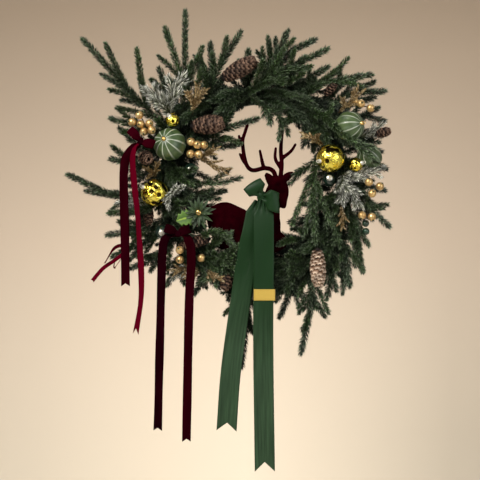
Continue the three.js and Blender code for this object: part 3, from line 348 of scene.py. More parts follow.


# The fir's deep green is painted shade and its fresh green painted light; the pale tip is the needles' own
# colour.
fir_needle = needle_finish("fir_needle", (0.006, 0.018, 0.008), (0.032, 0.068, 0.014), (0.003, 0.007, 0.003),
                           (0.34, 0.42, 0.28), 0.5, 0.62, 0.75)
fir_bark = mottled("fir_bark", (0.04, 0.06, 0.02), 0.7, 200,
                   [(0.3, (0.014, 0.030, 0.009)), (0.7, (0.05, 0.07, 0.018))], 900, 0.0006)
bound_stems = new_finish("bound_stems", (0.01, 0.02, 0.01), 0.9)
paint(bound_stems, shades(bound_stems, lumps_of(bound_stems, 90, stretch=(1, 1, 3)),
                          [(0.3, (0.002, 0.005, 0.003)), (0.7, (0.006, 0.014, 0.007))]))
bumps(bound_stems, lumps_of(bound_stems, 300), 0.003)

# Each bunch: its span of the ring in degrees, how far it fills inward and outward from the ring's
# middle line, and its sprays, each (stem, side shoots that start at a share of it).
bunches = {
    "fir_top_left": ((99, 152), (60, 66), [
        (((-195, 112, 28), (-270, 190, 42), (-345, 270, 44), (-432, 367, 34)),
         ((0.45, -385, 280, 26), (0.55, -372, 350, 62), (0.3, -295, 337, 66), (0.36, -335, 215, 30))),
        (((-170, 147, 26), (-215, 225, 44), (-240, 290, 40)), ((0.45, -258, 262, 60),)),
        (((-147, 170, 28), (-180, 262, 60), (-225, 392, 50)), ((0.36, -175, 437, 34), (0.3, -132, 342, 60))),
        (((-118, 190, 26), (-108, 262, 40), (-112, 355, 36)), ((0.4, -150, 325, 26),)),
        (((-132, 182, 24), (-97, 280, 52), (-37, 382, 46)), ((0.55, -70, 365, 70),)),
        (((-190, 120, 30), (-262, 140, 50), (-360, 167, 40)), ((0.55, -337, 185, 62),)),
        (((-180, 135, 26), (-135, 128, 44), (-70, 143, 50), (5, 167, 44)), ((0.4, -55, 190, 60),)),
        (((-196, 110, 24), (-110, 98, 42), (-46, 102, 36)), ((0.5, -64, 118, 54),)),
    ]),
    "fir_top": ((62, 99), (35, 64), [
        (((-22, 225, 24), (-20, 290, 34), (-17, 337, 34)), ()),
        (((0, 226, 26), (35, 285, 52), (82, 385, 44)), ((0.5, 95, 362, 66),)),
        (((15, 224, 24), (67, 320, 36), (150, 367, 32)), ((0.25, 7, 332, 52),)),
        (((40, 221, 28), (95, 292, 62), (180, 340, 56)), ((0.5, 125, 322, 40),)),
        (((60, 216, 24), (120, 260, 40), (182, 297, 36)), ((0.6, 150, 262, 58),)),
        (((-30, 222, 30), (20, 262, 68), (80, 286, 78), (132, 288, 74)), ((0.4, 70, 252, 84),)),
    ]),
    "fir_top_right": ((20, 62), (60, 90), [
        (((172, 146, 22), (240, 205, 24), (300, 222, 22)), ()),
        (((140, 176, 24), (186, 226, 26), (232, 266, 26)), ()),
        (((200, 110, 20), (262, 135, 20), (322, 128, 22)), ()),
        (((214, 80, 20), (270, 96, 20), (318, 88, 20)), ()),
        (((205, 100, 26), (250, 118, 32), (310, 110, 28)), ()),
        (((112, 195, 28), (150, 245, 60), (215, 262, 66), (290, 277, 50)),
         ((0.3, 200, 285, 80), (0.6, 262, 245, 82))),
        (((150, 168, 26), (235, 228, 36), (325, 238, 32)), ((0.5, 300, 262, 28),)),
        (((190, 120, 26), (262, 172, 28), (325, 165, 24)), ((0.4, 310, 195, 30),)),
        (((120, 190, 34), (170, 168, 80), (232, 112, 104), (300, 56, 92)),
         ((0.3, 190, 195, 86), (0.7, 292, 92, 84))),
        (((130, 184, 22), (92, 172, 54), (70, 150, 70)), ()),
        (((165, 155, 24), (150, 138, 60), (128, 120, 74)), ()),
    ]),
    "fir_right": ((-38, 20), (84, 72), [
        (((226, 62, 22), (280, 62, 24), (330, 44, 22)), ()),
        (((222, 30, 26), (285, -2, 34), (325, -12, 28)), ()),
        (((222, -20, 28), (275, -48, 42), (336, -102, 34)), ((0.45, 318, -58, 56),)),
        (((218, -30, 26), (250, -95, 50), (252, -200, 42)), ((0.35, 285, -150, 40), (0.5, 268, -215, 62))),
        (((205, -80, 28), (228, -160, 50), (238, -252, 40)), ((0.45, 222, -270, 26),)),
        (((195, -105, 26), (200, -180, 46), (182, -282, 34)), ((0.4, 204, -208, 70),)),
        (((212, 60, 34), (150, 42, 84), (144, -40, 92), (150, -140, 82)),
         ((0.35, 92, -98, 74), (0.4, 193, -102, 76), (0.55, 122, -128, 62))),
        (((224, -5, 30), (188, -62, 66), (172, -135, 58)), ((0.4, 210, -150, 74),)),
    ]),
    "fir_bottom_right": ((-88, -38), (76, 62), [
        (((168, -149, 26), (112, -135, 46), (48, -122, 40)), ((0.5, 60, -148, 58),)),
        (((135, -178, 28), (100, -190, 58), (52, -232, 54)), ((0.4, 40, -190, 72),)),
        (((110, -196, 26), (85, -232, 48), (54, -288, 42)), ((0.3, 92, -238, 66),)),
        (((142, -172, 24), (128, -220, 40), (104, -268, 34)), ()),
        (((120, -190, 24), (92, -262, 30), (64, -330, 26)), ()),
        (((145, -172, 24), (148, -240, 46), (138, -320, 40), (117, -420, 30)),
         ((0.5, 168, -312, 50), (0.4, 112, -318, 52), (0.62, 120, -362, 60))),
        (((168, -148, 26), (190, -215, 40), (205, -262, 30)), ()),
    ]),
    "fir_bottom": ((-172, -88), (70, 48), [
        (((-6, -224, 26), (-18, -300, 34), (-26, -380, 32), (-34, -455, 28)),
         ((0.4, -8, -368, 44), (0.55, -44, -420, 50))),
        (((-120, -190, 30), (-105, -150, 66), (-80, -128, 76), (-48, -158, 70)), ((0.45, -62, -120, 60),)),
        (((-105, -200, 30), (-92, -180, 70), (-60, -170, 80), (-22, -176, 72)),
         ((0.5, -36, -150, 64), (0.5, -30, -204, 66))),
        (((-100, -202, 28), (-70, -212, 62), (-16, -214, 60)), ((0.4, -30, -236, 50),)),
        (((-70, -214, 24), (-60, -250, 34), (-66, -286, 30)), ()),
        (((-118, -190, 24), (-130, -235, 34), (-152, -272, 30)), ()),
        (((-165, -155, 26), (-200, -215, 40), (-222, -250, 34)), ((0.4, -178, -246, 52),)),
        (((-190, -122, 26), (-245, -180, 46), (-312, -208, 40)),
         ((0.4, -262, -214, 28), (0.5, -300, -178, 62))),
        (((-205, -92, 28), (-275, -140, 44), (-357, -178, 36)), ((0.4, -322, -192, 24),)),
        (((-212, -75, 26), (-290, -110, 40), (-370, -125, 32)), ((0.5, -340, -92, 54),)),
        (((-220, -42, 28), (-290, -66, 50), (-362, -70, 42)), ()),
        (((-210, -80, 34), (-195, -62, 66), (-160, -30, 62)), ()),
        (((-205, -60, 18), (-165, -76, 24), (-128, -84, 26)), ()),
        (((-150, -178, 34), (-110, -190, 82), (-68, -186, 92), (-30, -192, 88)),
         ((0.5, -52, -160, 92), (0.6, -50, -214, 84))),
        (((-160, -168, 30), (-130, -128, 88), (-96, -118, 96), (-66, -128, 94)), ()),
        (((-60, -216, 26), (-70, -190, 70), (-100, -224, 74), (-140, -242, 64)), ((0.5, -96, -250, 66),)),
    ]),
    "fir_left": ((152, 188), (100, 95), [
        (((-225, 12, 26), (-335, -28, 40), (-470, 26, 32)), ((0.5, -425, -14, 26),)),
        (((-220, 45, 26), (-290, 52, 44), (-360, 66, 38)), ((0.5, -357, 96, 54),)),
        (((-212, 75, 26), (-290, 100, 36), (-340, 142, 30)), ()),
        (((-224, 12, 24), (-150, -26, 36), (-78, -14, 34)), ((0.5, -92, -34, 50),)),
        (((-215, 60, 30), (-190, 20, 74), (-160, 0, 84)), ((0.4, -150, 38, 78),)),
    ]),
}
CORE_OUTLINE = [(18, 5.3), (20, 15), (10, 25), (-10, 25), (-20, 15), (-18, 5.3)]
DEGREES_BETWEEN_CORE_RINGS = 3


def core(span):
    """The bound stems that lie on both hoops, as a closed body along the ring."""
    steps = int((span[1] - span[0]) / DEGREES_BETWEEN_CORE_RINGS)
    corners, faces = [], []
    sides = len(CORE_OUTLINE)
    for i in range(steps + 1):
        degrees = span[0] + (span[1] - span[0]) * i / steps
        corners += [spot(*on_ring(degrees, out, RING_RADIUS + wide)) for wide, out in CORE_OUTLINE]
    for i in range(steps):
        for k in range(sides):
            a, b = i * sides + k, i * sides + (k + 1) % sides
            faces.append((a, a + sides, b + sides, b))
    faces.append(tuple(range(sides)))
    faces.append(tuple(reversed(range(steps * sides, (steps + 1) * sides))))
    return np.array(corners), faces, bound_stems


CLEARANCE = 0.0035
CLEARANCE_STEP = 0.008
LOOK_BEHIND = 0.09


def room_for(route, in_front=True):
    """Whether a shoot keeps clear of the ornaments, and where asked doesn't hide them either."""
    points, _, _ = smooth_route(route, CLEARANCE_STEP)
    for point in map(Vector, points):
        if ornaments.find_nearest(point, CLEARANCE)[0]:
            return False
        if in_front and ornaments.ray_cast(point, (0, 1, 0), LOOK_BEHIND)[0]:
            return False
    return True


LIFTS = (0, 6, -5, 12, -10, 18, 24, 30)
REARMOST = 14
FOREMOST = 104
# Painted shade and light on the fir: a shoot that reaches no further out than this many mm is in full painted
# shade, and it turns to painted light over the next so many mm.
PAINTED_SHADE_OUT = 34
PAINTED_LIGHT_SPAN = 46
IN_FRONT = 44


def bent_clear(route):
    """A stem's route, bent forward or back where it would run into an ornament."""
    for lift in LIFTS:
        bent = [route[0], *[(x, z, min(max(out + lift, REARMOST), FOREMOST)) for x, z, out in route[1:]]]
        if room_for(bent, in_front=False):
            return bent
    return list(route)


SHOOT_LEAN = 6


def side_shoot(stem, share, end):
    """The route of a side shoot that leaves its stem at a share of its length."""
    points, directions, _ = smooth_route(stem, 0.01)
    n = int(share * (len(points) - 1))
    start = points[n] * 1000
    ahead = directions[n] * SHOOT_LEAN
    start = np.array((start[0], start[2] + HOOK_HEIGHT, -start[1]))
    middle = (start + np.array(end)) / 2 + (ahead[0], ahead[2], 0)
    return [tuple(start), tuple(middle), tuple(end)]


def grow_shoot(route, draws, length, per_mm, radius, bodies, tips, shade=1.0):
    """Adds a shoot's stem and its needles to what a bunch is made of, with painted light the nearer in front
    and painted shade the deeper inside.
    """
    painted_front_light = (max(place[2] for place in route) - PAINTED_SHADE_OUT) / PAINTED_LIGHT_SPAN + draws.uniform(-0.2, 0.3)
    bodies.append(rod(route, radius, fir_bark, 0.7, sides=5, step=0.015))
    tips.append(needles(route, length, per_mm, draws, painted_front_light=np.clip(painted_front_light, 0, 1), shade=shade))


def twigs(stem, draws, count, low, high):
    """Small side shoots, left and right in turn, between two shares of a stem's length."""
    points, directions, run = smooth_route(stem, 0.01)
    found = []
    for n in range(count):
        share = low + (high - low) * (n + 0.5 * draws.random()) / count
        i = int(share * (len(points) - 1))
        side = 1 if n % 2 else -1
        turn = side * math.radians(draws.uniform(20, 34))
        ahead = np.array((directions[i][0], directions[i][2], -directions[i][1]))
        across = np.array((-ahead[1], ahead[0], 0.0))
        way = ahead * math.cos(turn) + across * math.sin(turn) + (0, 0, draws.uniform(-0.25, 0.35))
        long = draws.uniform(60, 95) * min(1.0, run / 0.2) * (1.15 - share * 0.5)
        start = np.array((points[i][0], points[i][2], -points[i][1])) * 1000 + (0, HOOK_HEIGHT, 0)
        end = start + way * long
        if 22 < end[2] < FOREMOST:
            found.append([tuple(start), tuple(start + way * long * 0.5 + ahead * 4), tuple(end)])
    return found


def filling(span, inward, outward, draws):
    """Short shoots bound in all round the ring, which lean along it from the top down."""
    found = []
    for degrees in np.arange(span[0] + 1, span[1], 2.3):
        flow = -1 if math.cos(math.radians(degrees)) > 0 else 1
        for side, reach in ((-1, inward), (1, outward), (-0.5, 50), (0.5, 50)):
            far = side * reach * draws.uniform(0.55, 1.15)
            out = draws.uniform(22, 52) if abs(side) == 1 else draws.uniform(46, 74)
            turn = flow * draws.uniform(8, 27)
            found.append([
                on_ring(degrees, 18, RING_RADIUS + 6 * side),
                on_ring(degrees + turn * 0.45, out * 0.85 + 6, RING_RADIUS + far * 0.5),
                on_ring(degrees + turn, out, RING_RADIUS + far),
            ])
    return found


for number, (name, (span, fills, sprays)) in enumerate(bunches.items()):
    draws = np.random.default_rng(40 + number)
    bodies, tips = [core(span)], []
    for stem, shoots in sprays:
        stem = bent_clear(stem)
        grow_shoot(stem, draws, 17, 4.8, 2.0, bodies, tips)
        routes = [side_shoot(stem, share, (x, z, out)) for share, x, z, out in shoots]
        for route in map(bent_clear, routes):
            grow_shoot(route, draws, 15, 4.8, 1.5, bodies, tips)
        for route in twigs(stem, draws, 4, 0.1, 0.5):
            if room_for(route):
                grow_shoot(route, draws, 14, 4.2, 1.2, bodies, tips)
    for route in filling(span, *fills, draws):
        pressed = [(x, z, REARMOST + (out - REARMOST) * 0.3) for x, z, out in route]
        for way in (route, pressed):
            if room_for(way):
                in_front = max(place[2] for place in way) > IN_FRONT
                # Painted shade: filling shoots are darker, and those that lie behind darker still.
                grow_shoot(way, draws, 16, 3.5, 1.2, bodies, tips, 0.8 if in_front else 0.5)
                break
    piece(name + "_tips", [*bodies, blades_body(tips, fir_needle)], "fir_needles", [name], smooth=False)

# Sprays wired on over the fir: three fir tips that reach into the hole, frosted fir with whitened
# needles, and gilded cedar, whose flat twigs are covered with gold glitter.
frosted_needle = needle_finish("frosted_needle", (0.07, 0.085, 0.040), (0.14, 0.16, 0.075),
                               (0.03, 0.035, 0.012), (1.0, 1.0, 0.92), 0.8, 0.3, 1.0)
gilded_leaf = new_finish("gilded_leaf", (0.25, 0.14, 0.04), 0.4, Metallic=0.35)
own_shade = shades(gilded_leaf, tone_parts(gilded_leaf)["Blue"],
                   [(0.0, (0.12, 0.07, 0.03)), (0.45, (0.38, 0.25, 0.10)), (0.8, (0.68, 0.52, 0.27)),
                    (1.0, (0.95, 0.84, 0.60))])
glitter = add_node(gilded_leaf, "ShaderNodeTexVoronoi", {"Scale": 1500.0})
sparks = shades(gilded_leaf, glitter.outputs["Distance"], [(0.0, 1.0), (0.32, 0.0)])
paint(gilded_leaf, blend(gilded_leaf, sparks, own_shade, (0.95, 0.72, 0.3)))
bumps(gilded_leaf, glitter.outputs["Distance"], 0.0006)

FIR = (fir_needle, "fir_needles", fir_bark)
FROSTED = (frosted_needle, "frosted_needles", fir_bark)
GILDED = (gilded_leaf, "gilded_cedar", gilded_leaf)
wired_sprays = {
    "fir_inner_left": (FIR, 17, ((-222, 30, 40), (-150, 8, 56), (-96, 4, 60), (-38, 18, 46)),
                       ((0.55, -66, 36, 64),)),
    "fir_inner_top": (FIR, 17, ((-12, 226, 40), (20, 196, 66), (62, 168, 76), (60, 116, 70)),
                      ((0.35, 40, 155, 60),)),
    "fir_inner_right": (FIR, 17, ((200, 108, 40), (150, 62, 50), (80, -2, 44)), ((0.5, 98, 28, 60),)),
    "frosted_top_left": (FROSTED, 24, ((-205, 172, 58), (-238, 208, 76), (-272, 236, 74)),
                         ((0.3, -180, 270, 66),)),
    "frosted_right": (FROSTED, 16, ((218, 30, 66), (218, 0, 84), (220, -46, 78)),
                      ((0.12, 264, -56, 78), (0.1, 250, 22, 80), (0.15, 320, 44, 50))),
    "frosted_upper_right": (FROSTED, 14, ((268, 120, 40), (295, 136, 34), (325, 157, 30)), ()),
    "frosted_bottom": (FROSTED, 15, ((-150, -204, 50), (-180, -216, 66), (-206, -236, 62)), ()),
    "frosted_left": (FROSTED, 14, ((-262, -44, 50), (-305, -44, 62), (-342, -44, 56)), ()),
    "frosted_sprig": (FROSTED, 13, ((-205, -30, 60), (-196, -8, 88), (-214, -34, 94), (-214, -58, 84)), ()),
    "gilded_top": (GILDED, 12, ((-160, 168, 56), (-150, 210, 78), (-136, 256, 74)),
                   ((0.35, -172, 228, 86), (0.55, -118, 236, 84))),
    "gilded_inner": (GILDED, 10, ((-150, 62, 58), (-118, 76, 78), (-88, 94, 74)), ((0.2, -66, 26, 72),)),
    "gilded_cluster": (GILDED, 9, ((-250, 22, 50), (-254, 34, 84)),
                       ((0.6, -276, 44, 82), (0.6, -238, 56, 86), (0.6, -268, 16, 84))),
    "gilded_middle": (GILDED, 12, ((170, 100, 70), (145, 112, 92), (114, 128, 88)), ((0.3, 158, 122, 100),)),
    "gilded_upper_right": (GILDED, 11, ((208, 180, 66), (240, 208, 88), (272, 236, 84)),
                           ((0.25, 212, 216, 86), (0.5, 244, 232, 98))),
    "gilded_right": (GILDED, 9, ((214, -50, 64), (218, -80, 82), (214, -112, 78)), ()),
    "gilded_low": (GILDED, 10, ((-128, -206, 60), (-104, -226, 80), (-78, -240, 76)),
                   ((0.3, -118, -240, 72), (0.1, -178, -234, 80), (0.1, -214, -212, 80))),
}


def wire_to_ring(place, degrees=None):
    """The thin wire that goes back from an ornament into the bound stems."""
    if degrees is None:
        degrees = math.degrees(math.atan2(place[1], place[0]))
    x, z, out = place
    return rod([place, (x * 0.99, z * 0.99, min(out, 24)), on_ring(degrees, 12)], 1.3, lacquered_wire)


for number, (name, (looks, length, stem, shoots)) in enumerate(wired_sprays.items()):
    draws = np.random.default_rng(80 + number)
    finish, slot, bark = looks
    stem = bent_clear(stem)
    routes = [stem, *[bent_clear(side_shoot(stem, share, (x, z, out))) for share, x, z, out in shoots]]
    if looks is not FIR or name == "fir_inner_top":
        on_each = 4 if looks is GILDED else 3
        routes += [twig for route in routes for twig in twigs(route, draws, on_each, 0.2, 0.8)]
    bodies, tips = [wire_to_ring(stem[0])], []
    for route in routes:
        bodies.append(rod(route, 1.4, bark, 0.6, sides=5))
        if looks is GILDED:
            tips.append(needles(route, length * 0.75, 2.4, draws, lean=(50, 32), width=0.0036))
        else:
            # A fixed share of painted front light.
            tips.append(needles(route, length, 3.0, draws, lean=(58, 38), painted_front_light=0.6,
                                width=0.0019 if looks is FROSTED else NEEDLE_WIDTH))
    piece(name + "_spray", [*bodies, blades_body(tips, finish)], slot, [name], smooth=False)

# Fir and pine cones: woody scales set in spirals round a core, darker at the foot, where the near black
# is painted shade between the scales, and pale along their rims. Each is wired at its base.


def cone_finish(name, foot, middle, upper, rim):
    """Woody scales that run from foot to rim, painted near black at the foot as shade between the scales,
    each with its own tone and a fine grain.
    """
    finish = new_finish(name, upper, 0.7, Specular_IOR_Level=0.3)
    parts = tone_parts(finish)
    # Painted shade at the scale's foot, and its own pale colour at the rim.
    pale_rim_and_painted_foot_shade = shades(finish, parts["Green"], [(0.0, foot), (0.5, middle), (0.8, upper), (1.0, rim)])
    own_shade = shades(finish, parts["Blue"], [(0.0, 0.55), (1.0, 1.4)])
    grain = lumps_of(finish, 700, 4)
    streaked = shades(finish, grain, [(0.3, 0.7), (0.7, 1.15)])
    paint(finish, times(finish, times(finish, pale_rim_and_painted_foot_shade, own_shade), streaked))
    bumps(finish, grain, 0.0006)
    return finish


# The first colour of each is painted shade at the scales' feet.
brown_scale = cone_finish("brown_scale", (0.003, 0.0015, 0.001), (0.008, 0.0035, 0.002),
                          (0.032, 0.014, 0.008), (0.22, 0.13, 0.085))
pale_scale = cone_finish("pale_scale", (0.006, 0.003, 0.002), (0.03, 0.013, 0.008),
                         (0.24, 0.14, 0.085), (0.80, 0.64, 0.50))


def plate(grid, thickness, finish, tones=None):
    """A closed thin body over a grid of points, with its face towards the cross of rows and columns."""
    grid = np.asarray(grid, float)
    rows, columns = grid.shape[:2]
    face = np.cross(np.gradient(grid, axis=0), np.gradient(grid, axis=1))
    face /= np.maximum(np.linalg.norm(face, axis=2), 1e-12)[..., None]
    thickness = np.broadcast_to(np.asarray(thickness, float), (rows, columns))[..., None]
    corners = np.concatenate([(grid + face * thickness / 2).reshape(-1, 3),
                              (grid - face * thickness / 2).reshape(-1, 3)])
    number = np.arange(rows * columns).reshape(rows, columns)
    below = rows * columns
    faces = []
    for i in range(rows - 1):
        for k in range(columns - 1):
            a, b, c, d = number[i, k], number[i + 1, k], number[i + 1, k + 1], number[i, k + 1]
            faces += [(a, b, c, d), (a + below, d + below, c + below, b + below)]
    rim = [*number[0, :], *number[1:, -1], *number[-1, -2::-1], *number[-2:0:-1, 0]]
    for a, b in zip(rim, [*rim[1:], rim[0]]):
        faces.append((a, b, b + below, a + below))
    body = (corners, [tuple(int(v) for v in face) for face in faces], finish)
    return body if tones is None else (*body, np.tile(np.asarray(tones, float).reshape(-1, 4), (2, 1)))


def about(axis):
    """An axis given as (right, up, out), and two directions square to it, in the frame's axes."""
    axis = Vector((axis[0], -axis[2], axis[1])).normalized()
    side = axis.orthogonal().normalized()
    return axis, side, axis.cross(side)


def turned(profile, place, axis, sides, finish):
    """A body turned about an axis through a place: profile is (radius, height) in mm, foot to top."""
    axis, side, over = about(axis)
    centre = spot(*place)
    angles = 2 * np.pi * np.arange(sides) / sides
    round_it = np.cos(angles)[:, None] * np.array(side) + np.sin(angles)[:, None] * np.array(over)
    corners = [centre + (radius * round_it + height * np.array(axis)) / 1000 for radius, height in profile]
    corners = [*np.concatenate(corners), centre + profile[0][1] * np.array(axis) / 1000,
               centre + profile[-1][1] * np.array(axis) / 1000]
    return np.array(corners), closed_faces(len(profile), sides, pointed=True), finish


# Each cone: base, tip, width and how many scales it has.
cones = {
    "cone_top": ((-82, 264, 62), (-8, 306, 74), 50, 84),
    "cone_left": ((-160, 145, 68), (-92, 152, 80), 54, 76),
    "cone_dark": ((-284, 74, 36), (-266, 64, 90), 40, 54),
    "cone_shaded": ((-268, -50, 34), (-266, -92, 58), 30, 44),
    "cone_bottom": ((-112, -134, 78), (-180, -152, 82), 34, 66),
    "cone_low": ((-60, -216, 56), (-74, -254, 72), 34, 44),
    "cone_hanging": ((154, -158, 84), (157, -243, 86), 46, 84),
    "cone_small": ((302, 126, 52), (330, 134, 62), 29, 40),
    "cone_hidden": ((176, 226, 46), (196, 248, 66), 26, 36),
}
SCALE_OUTLINE = np.array((0.45, 0.75, 0.95, 1.0, 0.85, 0.38))
SCALE_ROWS = len(SCALE_OUTLINE)
SCALE_COLUMNS = 5
CORE_RINGS = 12
CORE_SIDES = 10


def plumpness(share):
    """How thick a cone is at a share of its length, from 0 to 1."""
    return np.sin(np.pi * (0.14 + 0.78 * share)) ** 0.8


for number, (name, (base, tip, width, count)) in enumerate(cones.items()):
    draws = np.random.default_rng(120 + number)
    scale_finish = pale_scale if name == "cone_hanging" else brown_scale
    foot, head = spot(*base), spot(*tip)
    long = np.linalg.norm(head - foot)
    axis = (head - foot) / long
    side = np.cross(axis, (0.3, 0.9, 0.1))
    side /= np.linalg.norm(side)
    over = np.cross(axis, side)
    stops = np.linspace(0, 1, CORE_RINGS)
    middle_line = foot + axis * long * stops[:, None]
    along = np.repeat(axis[None], CORE_RINGS, 0)
    heart = tube(middle_line, along, width / 1000 * 0.26 * plumpness(stops), CORE_SIDES)
    bodies = [(*heart, scale_finish, np.tile((0, 0.1, 0.2, 1.0), (len(heart[0]), 1))), wire_to_ring(base)]
    for n in range(count):
        t = 0.02 + 0.96 * (n + 0.5) / count
        angle = n * GOLDEN_ANGLE
        fat = plumpness(t)
        outward = math.cos(angle) * side + math.sin(angle) * over
        around = np.cross(axis, outward)
        open_angle = math.radians(76 - 48 * t + draws.normal(0, 3))
        reach = width / 1000 * fat * (0.40 if t < 0.9 else 0.34)
        wide = width / 1000 * (0.17 + 0.19 * fat)
        start = foot + axis * (long * t) + outward * width / 1000 * 0.12 * fat
        share = np.linspace(0, 1, SCALE_ROWS)
        lean = open_angle - 0.75 * share
        steps = np.cos(lean)[:, None] * axis + np.sin(lean)[:, None] * outward
        steps = steps * reach / (SCALE_ROWS - 1) / np.sin(open_angle)
        spine = start + np.concatenate([[np.zeros(3)], np.cumsum(steps[:-1], axis=0)])
        broad = wide * SCALE_OUTLINE * draws.uniform(0.92, 1.05)
        across = np.linspace(-1, 1, SCALE_COLUMNS)
        cup = (across**2)[None, :, None] * axis * (wide * 0.16)
        grid = spine[:, None] + broad[:, None, None] * across[None, :, None] * around / 1.5 + cup
        tones = np.zeros((SCALE_ROWS, SCALE_COLUMNS, 4))
        tones[..., 1] = np.maximum(share[:, None], 0.55 * np.abs(across)[None] * share[:, None] ** 0.5 + 0.2)
        tones[..., 2] = draws.random()
        tones[..., 3] = 1
        thick = width / 1000 * 0.035 * (0.7 + 0.9 * share[:, None] ** 2) * np.ones((1, SCALE_COLUMNS))
        bodies.append(plate(grid, thick, scale_finish, tones))
    piece(name + "_scales", bodies, "cone_scales", [name])

# Gilt berries: lacquered balls of about 20 mm, each with the dried remains of its flower at the end,
# on wire stems that meet behind the cluster. Two small ones are dark green.
gilt_skin = mottled("gilt_skin", (0.55, 0.29, 0.07), 0.28, 120,
                    [(0.3, (0.42, 0.24, 0.08)), (0.55, (0.68, 0.44, 0.17)), (0.75, (0.86, 0.66, 0.34))],
                    450, 0.0005, Metallic=0.65, Coat_Weight=0.4, Coat_Roughness=0.1)
dark_skin = mottled("dark_skin", (0.01, 0.03, 0.015), 0.2, 150,
                    [(0.3, (0.006, 0.02, 0.01)), (0.7, (0.02, 0.06, 0.03))], 600, 0.0003, Coat_Weight=0.5)
berry_clusters = {
    "berries_top_left": ((-276, 152, 58), ((-287, 172, 86), (-305, 155, 84), (-284, 150, 80),
                                           (-262, 151, 88), (-256, 134, 96), (-276, 131, 84))),
    "berries_left": ((-146, 92, 58), ((-159, 106, 88), (-143, 98, 94), (-127, 98, 84),
                                      (-140, 74, 92), (-160, 76, 84))),
    "berries_top_right": ((256, 196, 54), ((248, 206, 78), (262, 200, 90), (287, 190, 80))),
    "berries_right": ((280, -40, 50), ((282, 6, 84), (310, -4, 78), (290, -22, 88), (266, -76, 76),
                                       (290, -80, 80))),
    "berries_bottom": ((-176, -176, 66), ((-186, -162, 104), (-186, -186, 94), (-134, -182, 84))),
    "dark_berries": ((266, -106, 40), ((277, -96, 56), (278, -116, 54))),
}
for name, (joint, places) in berry_clusters.items():
    dark = name == "dark_berries"
    radius, skin = (9, dark_skin) if dark else (10.4, gilt_skin)
    bodies = [wire_to_ring(joint)]
    for place in places:
        away = np.array(place) - np.array(joint)
        steps = np.linspace(-math.pi / 2, math.pi / 2, 15)[1:-1]
        profile = [(radius * math.cos(a), radius * math.sin(a)) for a in steps]
        nub = [(2.2, radius - 1.2), (2.6, radius + 0.2), (1.9, radius + 1.3), (0.7, radius + 0.9)]
        bodies.append(turned(profile, place, away, 24, skin))
        bodies.append(turned(nub, place, away, 7, fir_bark))
        start = tuple(np.array(joint) + away * 0.05)
        middle = tuple(np.array(joint) + away * 0.5 + (0, 3, 3))
        bodies.append(rod([start, middle, place], 1.3, fir_bark))
    piece(name + "_cluster", bodies, "dark_gloss" if dark else "gold_berry", [name])

# Glass balls, ribbed like a gourd: green with a pale stripe along each rib from pole to pole, and a
# metal cap with its loop at the pole. They fade towards the pole away from the cap.
striped_skin = new_finish("striped_skin", (0.1, 0.2, 0.08), 0.38, Coat_Weight=0.25, Coat_Roughness=0.2)
parts = tone_parts(striped_skin)
green = shades(striped_skin, lumps_of(striped_skin, 60, 4),
               [(0.3, (0.026, 0.056, 0.018)), (0.7, (0.085, 0.13, 0.045))])
stripe = shades(striped_skin, parts["Red"], [(0.84, 0.0), (0.97, 0.8), (1.0, 1.0)])
faded = shades(striped_skin, parts["Green"], [(0.0, 0.03), (0.45, 0.2), (0.85, 0.9)])
paint(striped_skin, blend(striped_skin, times(striped_skin, stripe, faded), green, (0.52, 0.56, 0.45)))
bumps(striped_skin, lumps_of(striped_skin, 900), 0.0003)
gilt_cap = mottled("gilt_cap", (0.75, 0.5, 0.16), 0.25, 300,
                   [(0.35, (0.5, 0.3, 0.08)), (0.65, (0.85, 0.62, 0.25))], 800, 0.0002, Metallic=1.0)
pale_cap = mottled("pale_cap", (0.75, 0.72, 0.62), 0.3, 300,
                   [(0.35, (0.55, 0.5, 0.4)), (0.65, (0.9, 0.88, 0.8))], 800, 0.0002, Metallic=0.7)
RIBS = 11
# A cap's outline: a share of its width, and the rise from the ball's skin in mm.
CAP_RIDGES = ((1.05, -4), (1.12, -2.5), (1, -1), (0.98, 3), (0.85, 4), (0.3, 4.3))
LOOP_GAP = 0.3


def globe(rows, columns, corner_at, finish):
    """A closed ball: corner_at gives the place and the tone of a corner from its rise and its turn."""
    made = [corner_at(math.pi * (i / rows - 0.5), 2 * math.pi * k / columns)
            for i in range(rows + 1) for k in range(columns)]
    corners, tones = map(np.array, zip(*made))
    return corners, closed_faces(rows + 1, columns), finish, tones


def ball(place, radius, axis, shape, finish, columns, rows):
    """A ball about an axis, its skin moved in or out in mm by shape(direction, angle, up). Its tones
    are (how near a rib, up, how deep in a dent, 1)."""
    axis, side, over = about(axis)
    centre = spot(*place)

    def corner_at(rise, angle):
        up = math.sin(rise)
        way = math.cos(rise) * (math.cos(angle) * side + math.sin(angle) * over) + up * axis
        moved = shape(way, angle, up)
        dent = min(1.0, max(0.0, -moved / radius * 14))
        return (centre + np.array(way) * (radius + moved) / 1000,
                (0.5 + 0.5 * math.cos(RIBS * angle), (up + 1) / 2, dent, 1))

    return globe(rows, columns, corner_at, finish)


def cap_with_loop(place, radius, axis, wide, finish):
    """A crimped collar on a ball, and the wire loop that stands in it."""
    ridges = [(wide * share, radius + rise) for share, rise in CAP_RIDGES]
    away = np.array(axis, float) / np.linalg.norm(axis)
    sidewise = np.cross(away, (0.2, 0.3, 0.9))
    sidewise /= np.linalg.norm(sidewise)
    loop = [np.array(place) + away * (radius + 3 + wide * 0.7 * (1 - math.cos(angle)))
            + sidewise * wide * 0.6 * math.sin(angle)
            for angle in np.linspace(LOOP_GAP, 2 * math.pi - LOOP_GAP, 15)]
    return [turned(ridges, place, axis, 20, finish), rod(loop, 0.9, finish, step=0.001)]


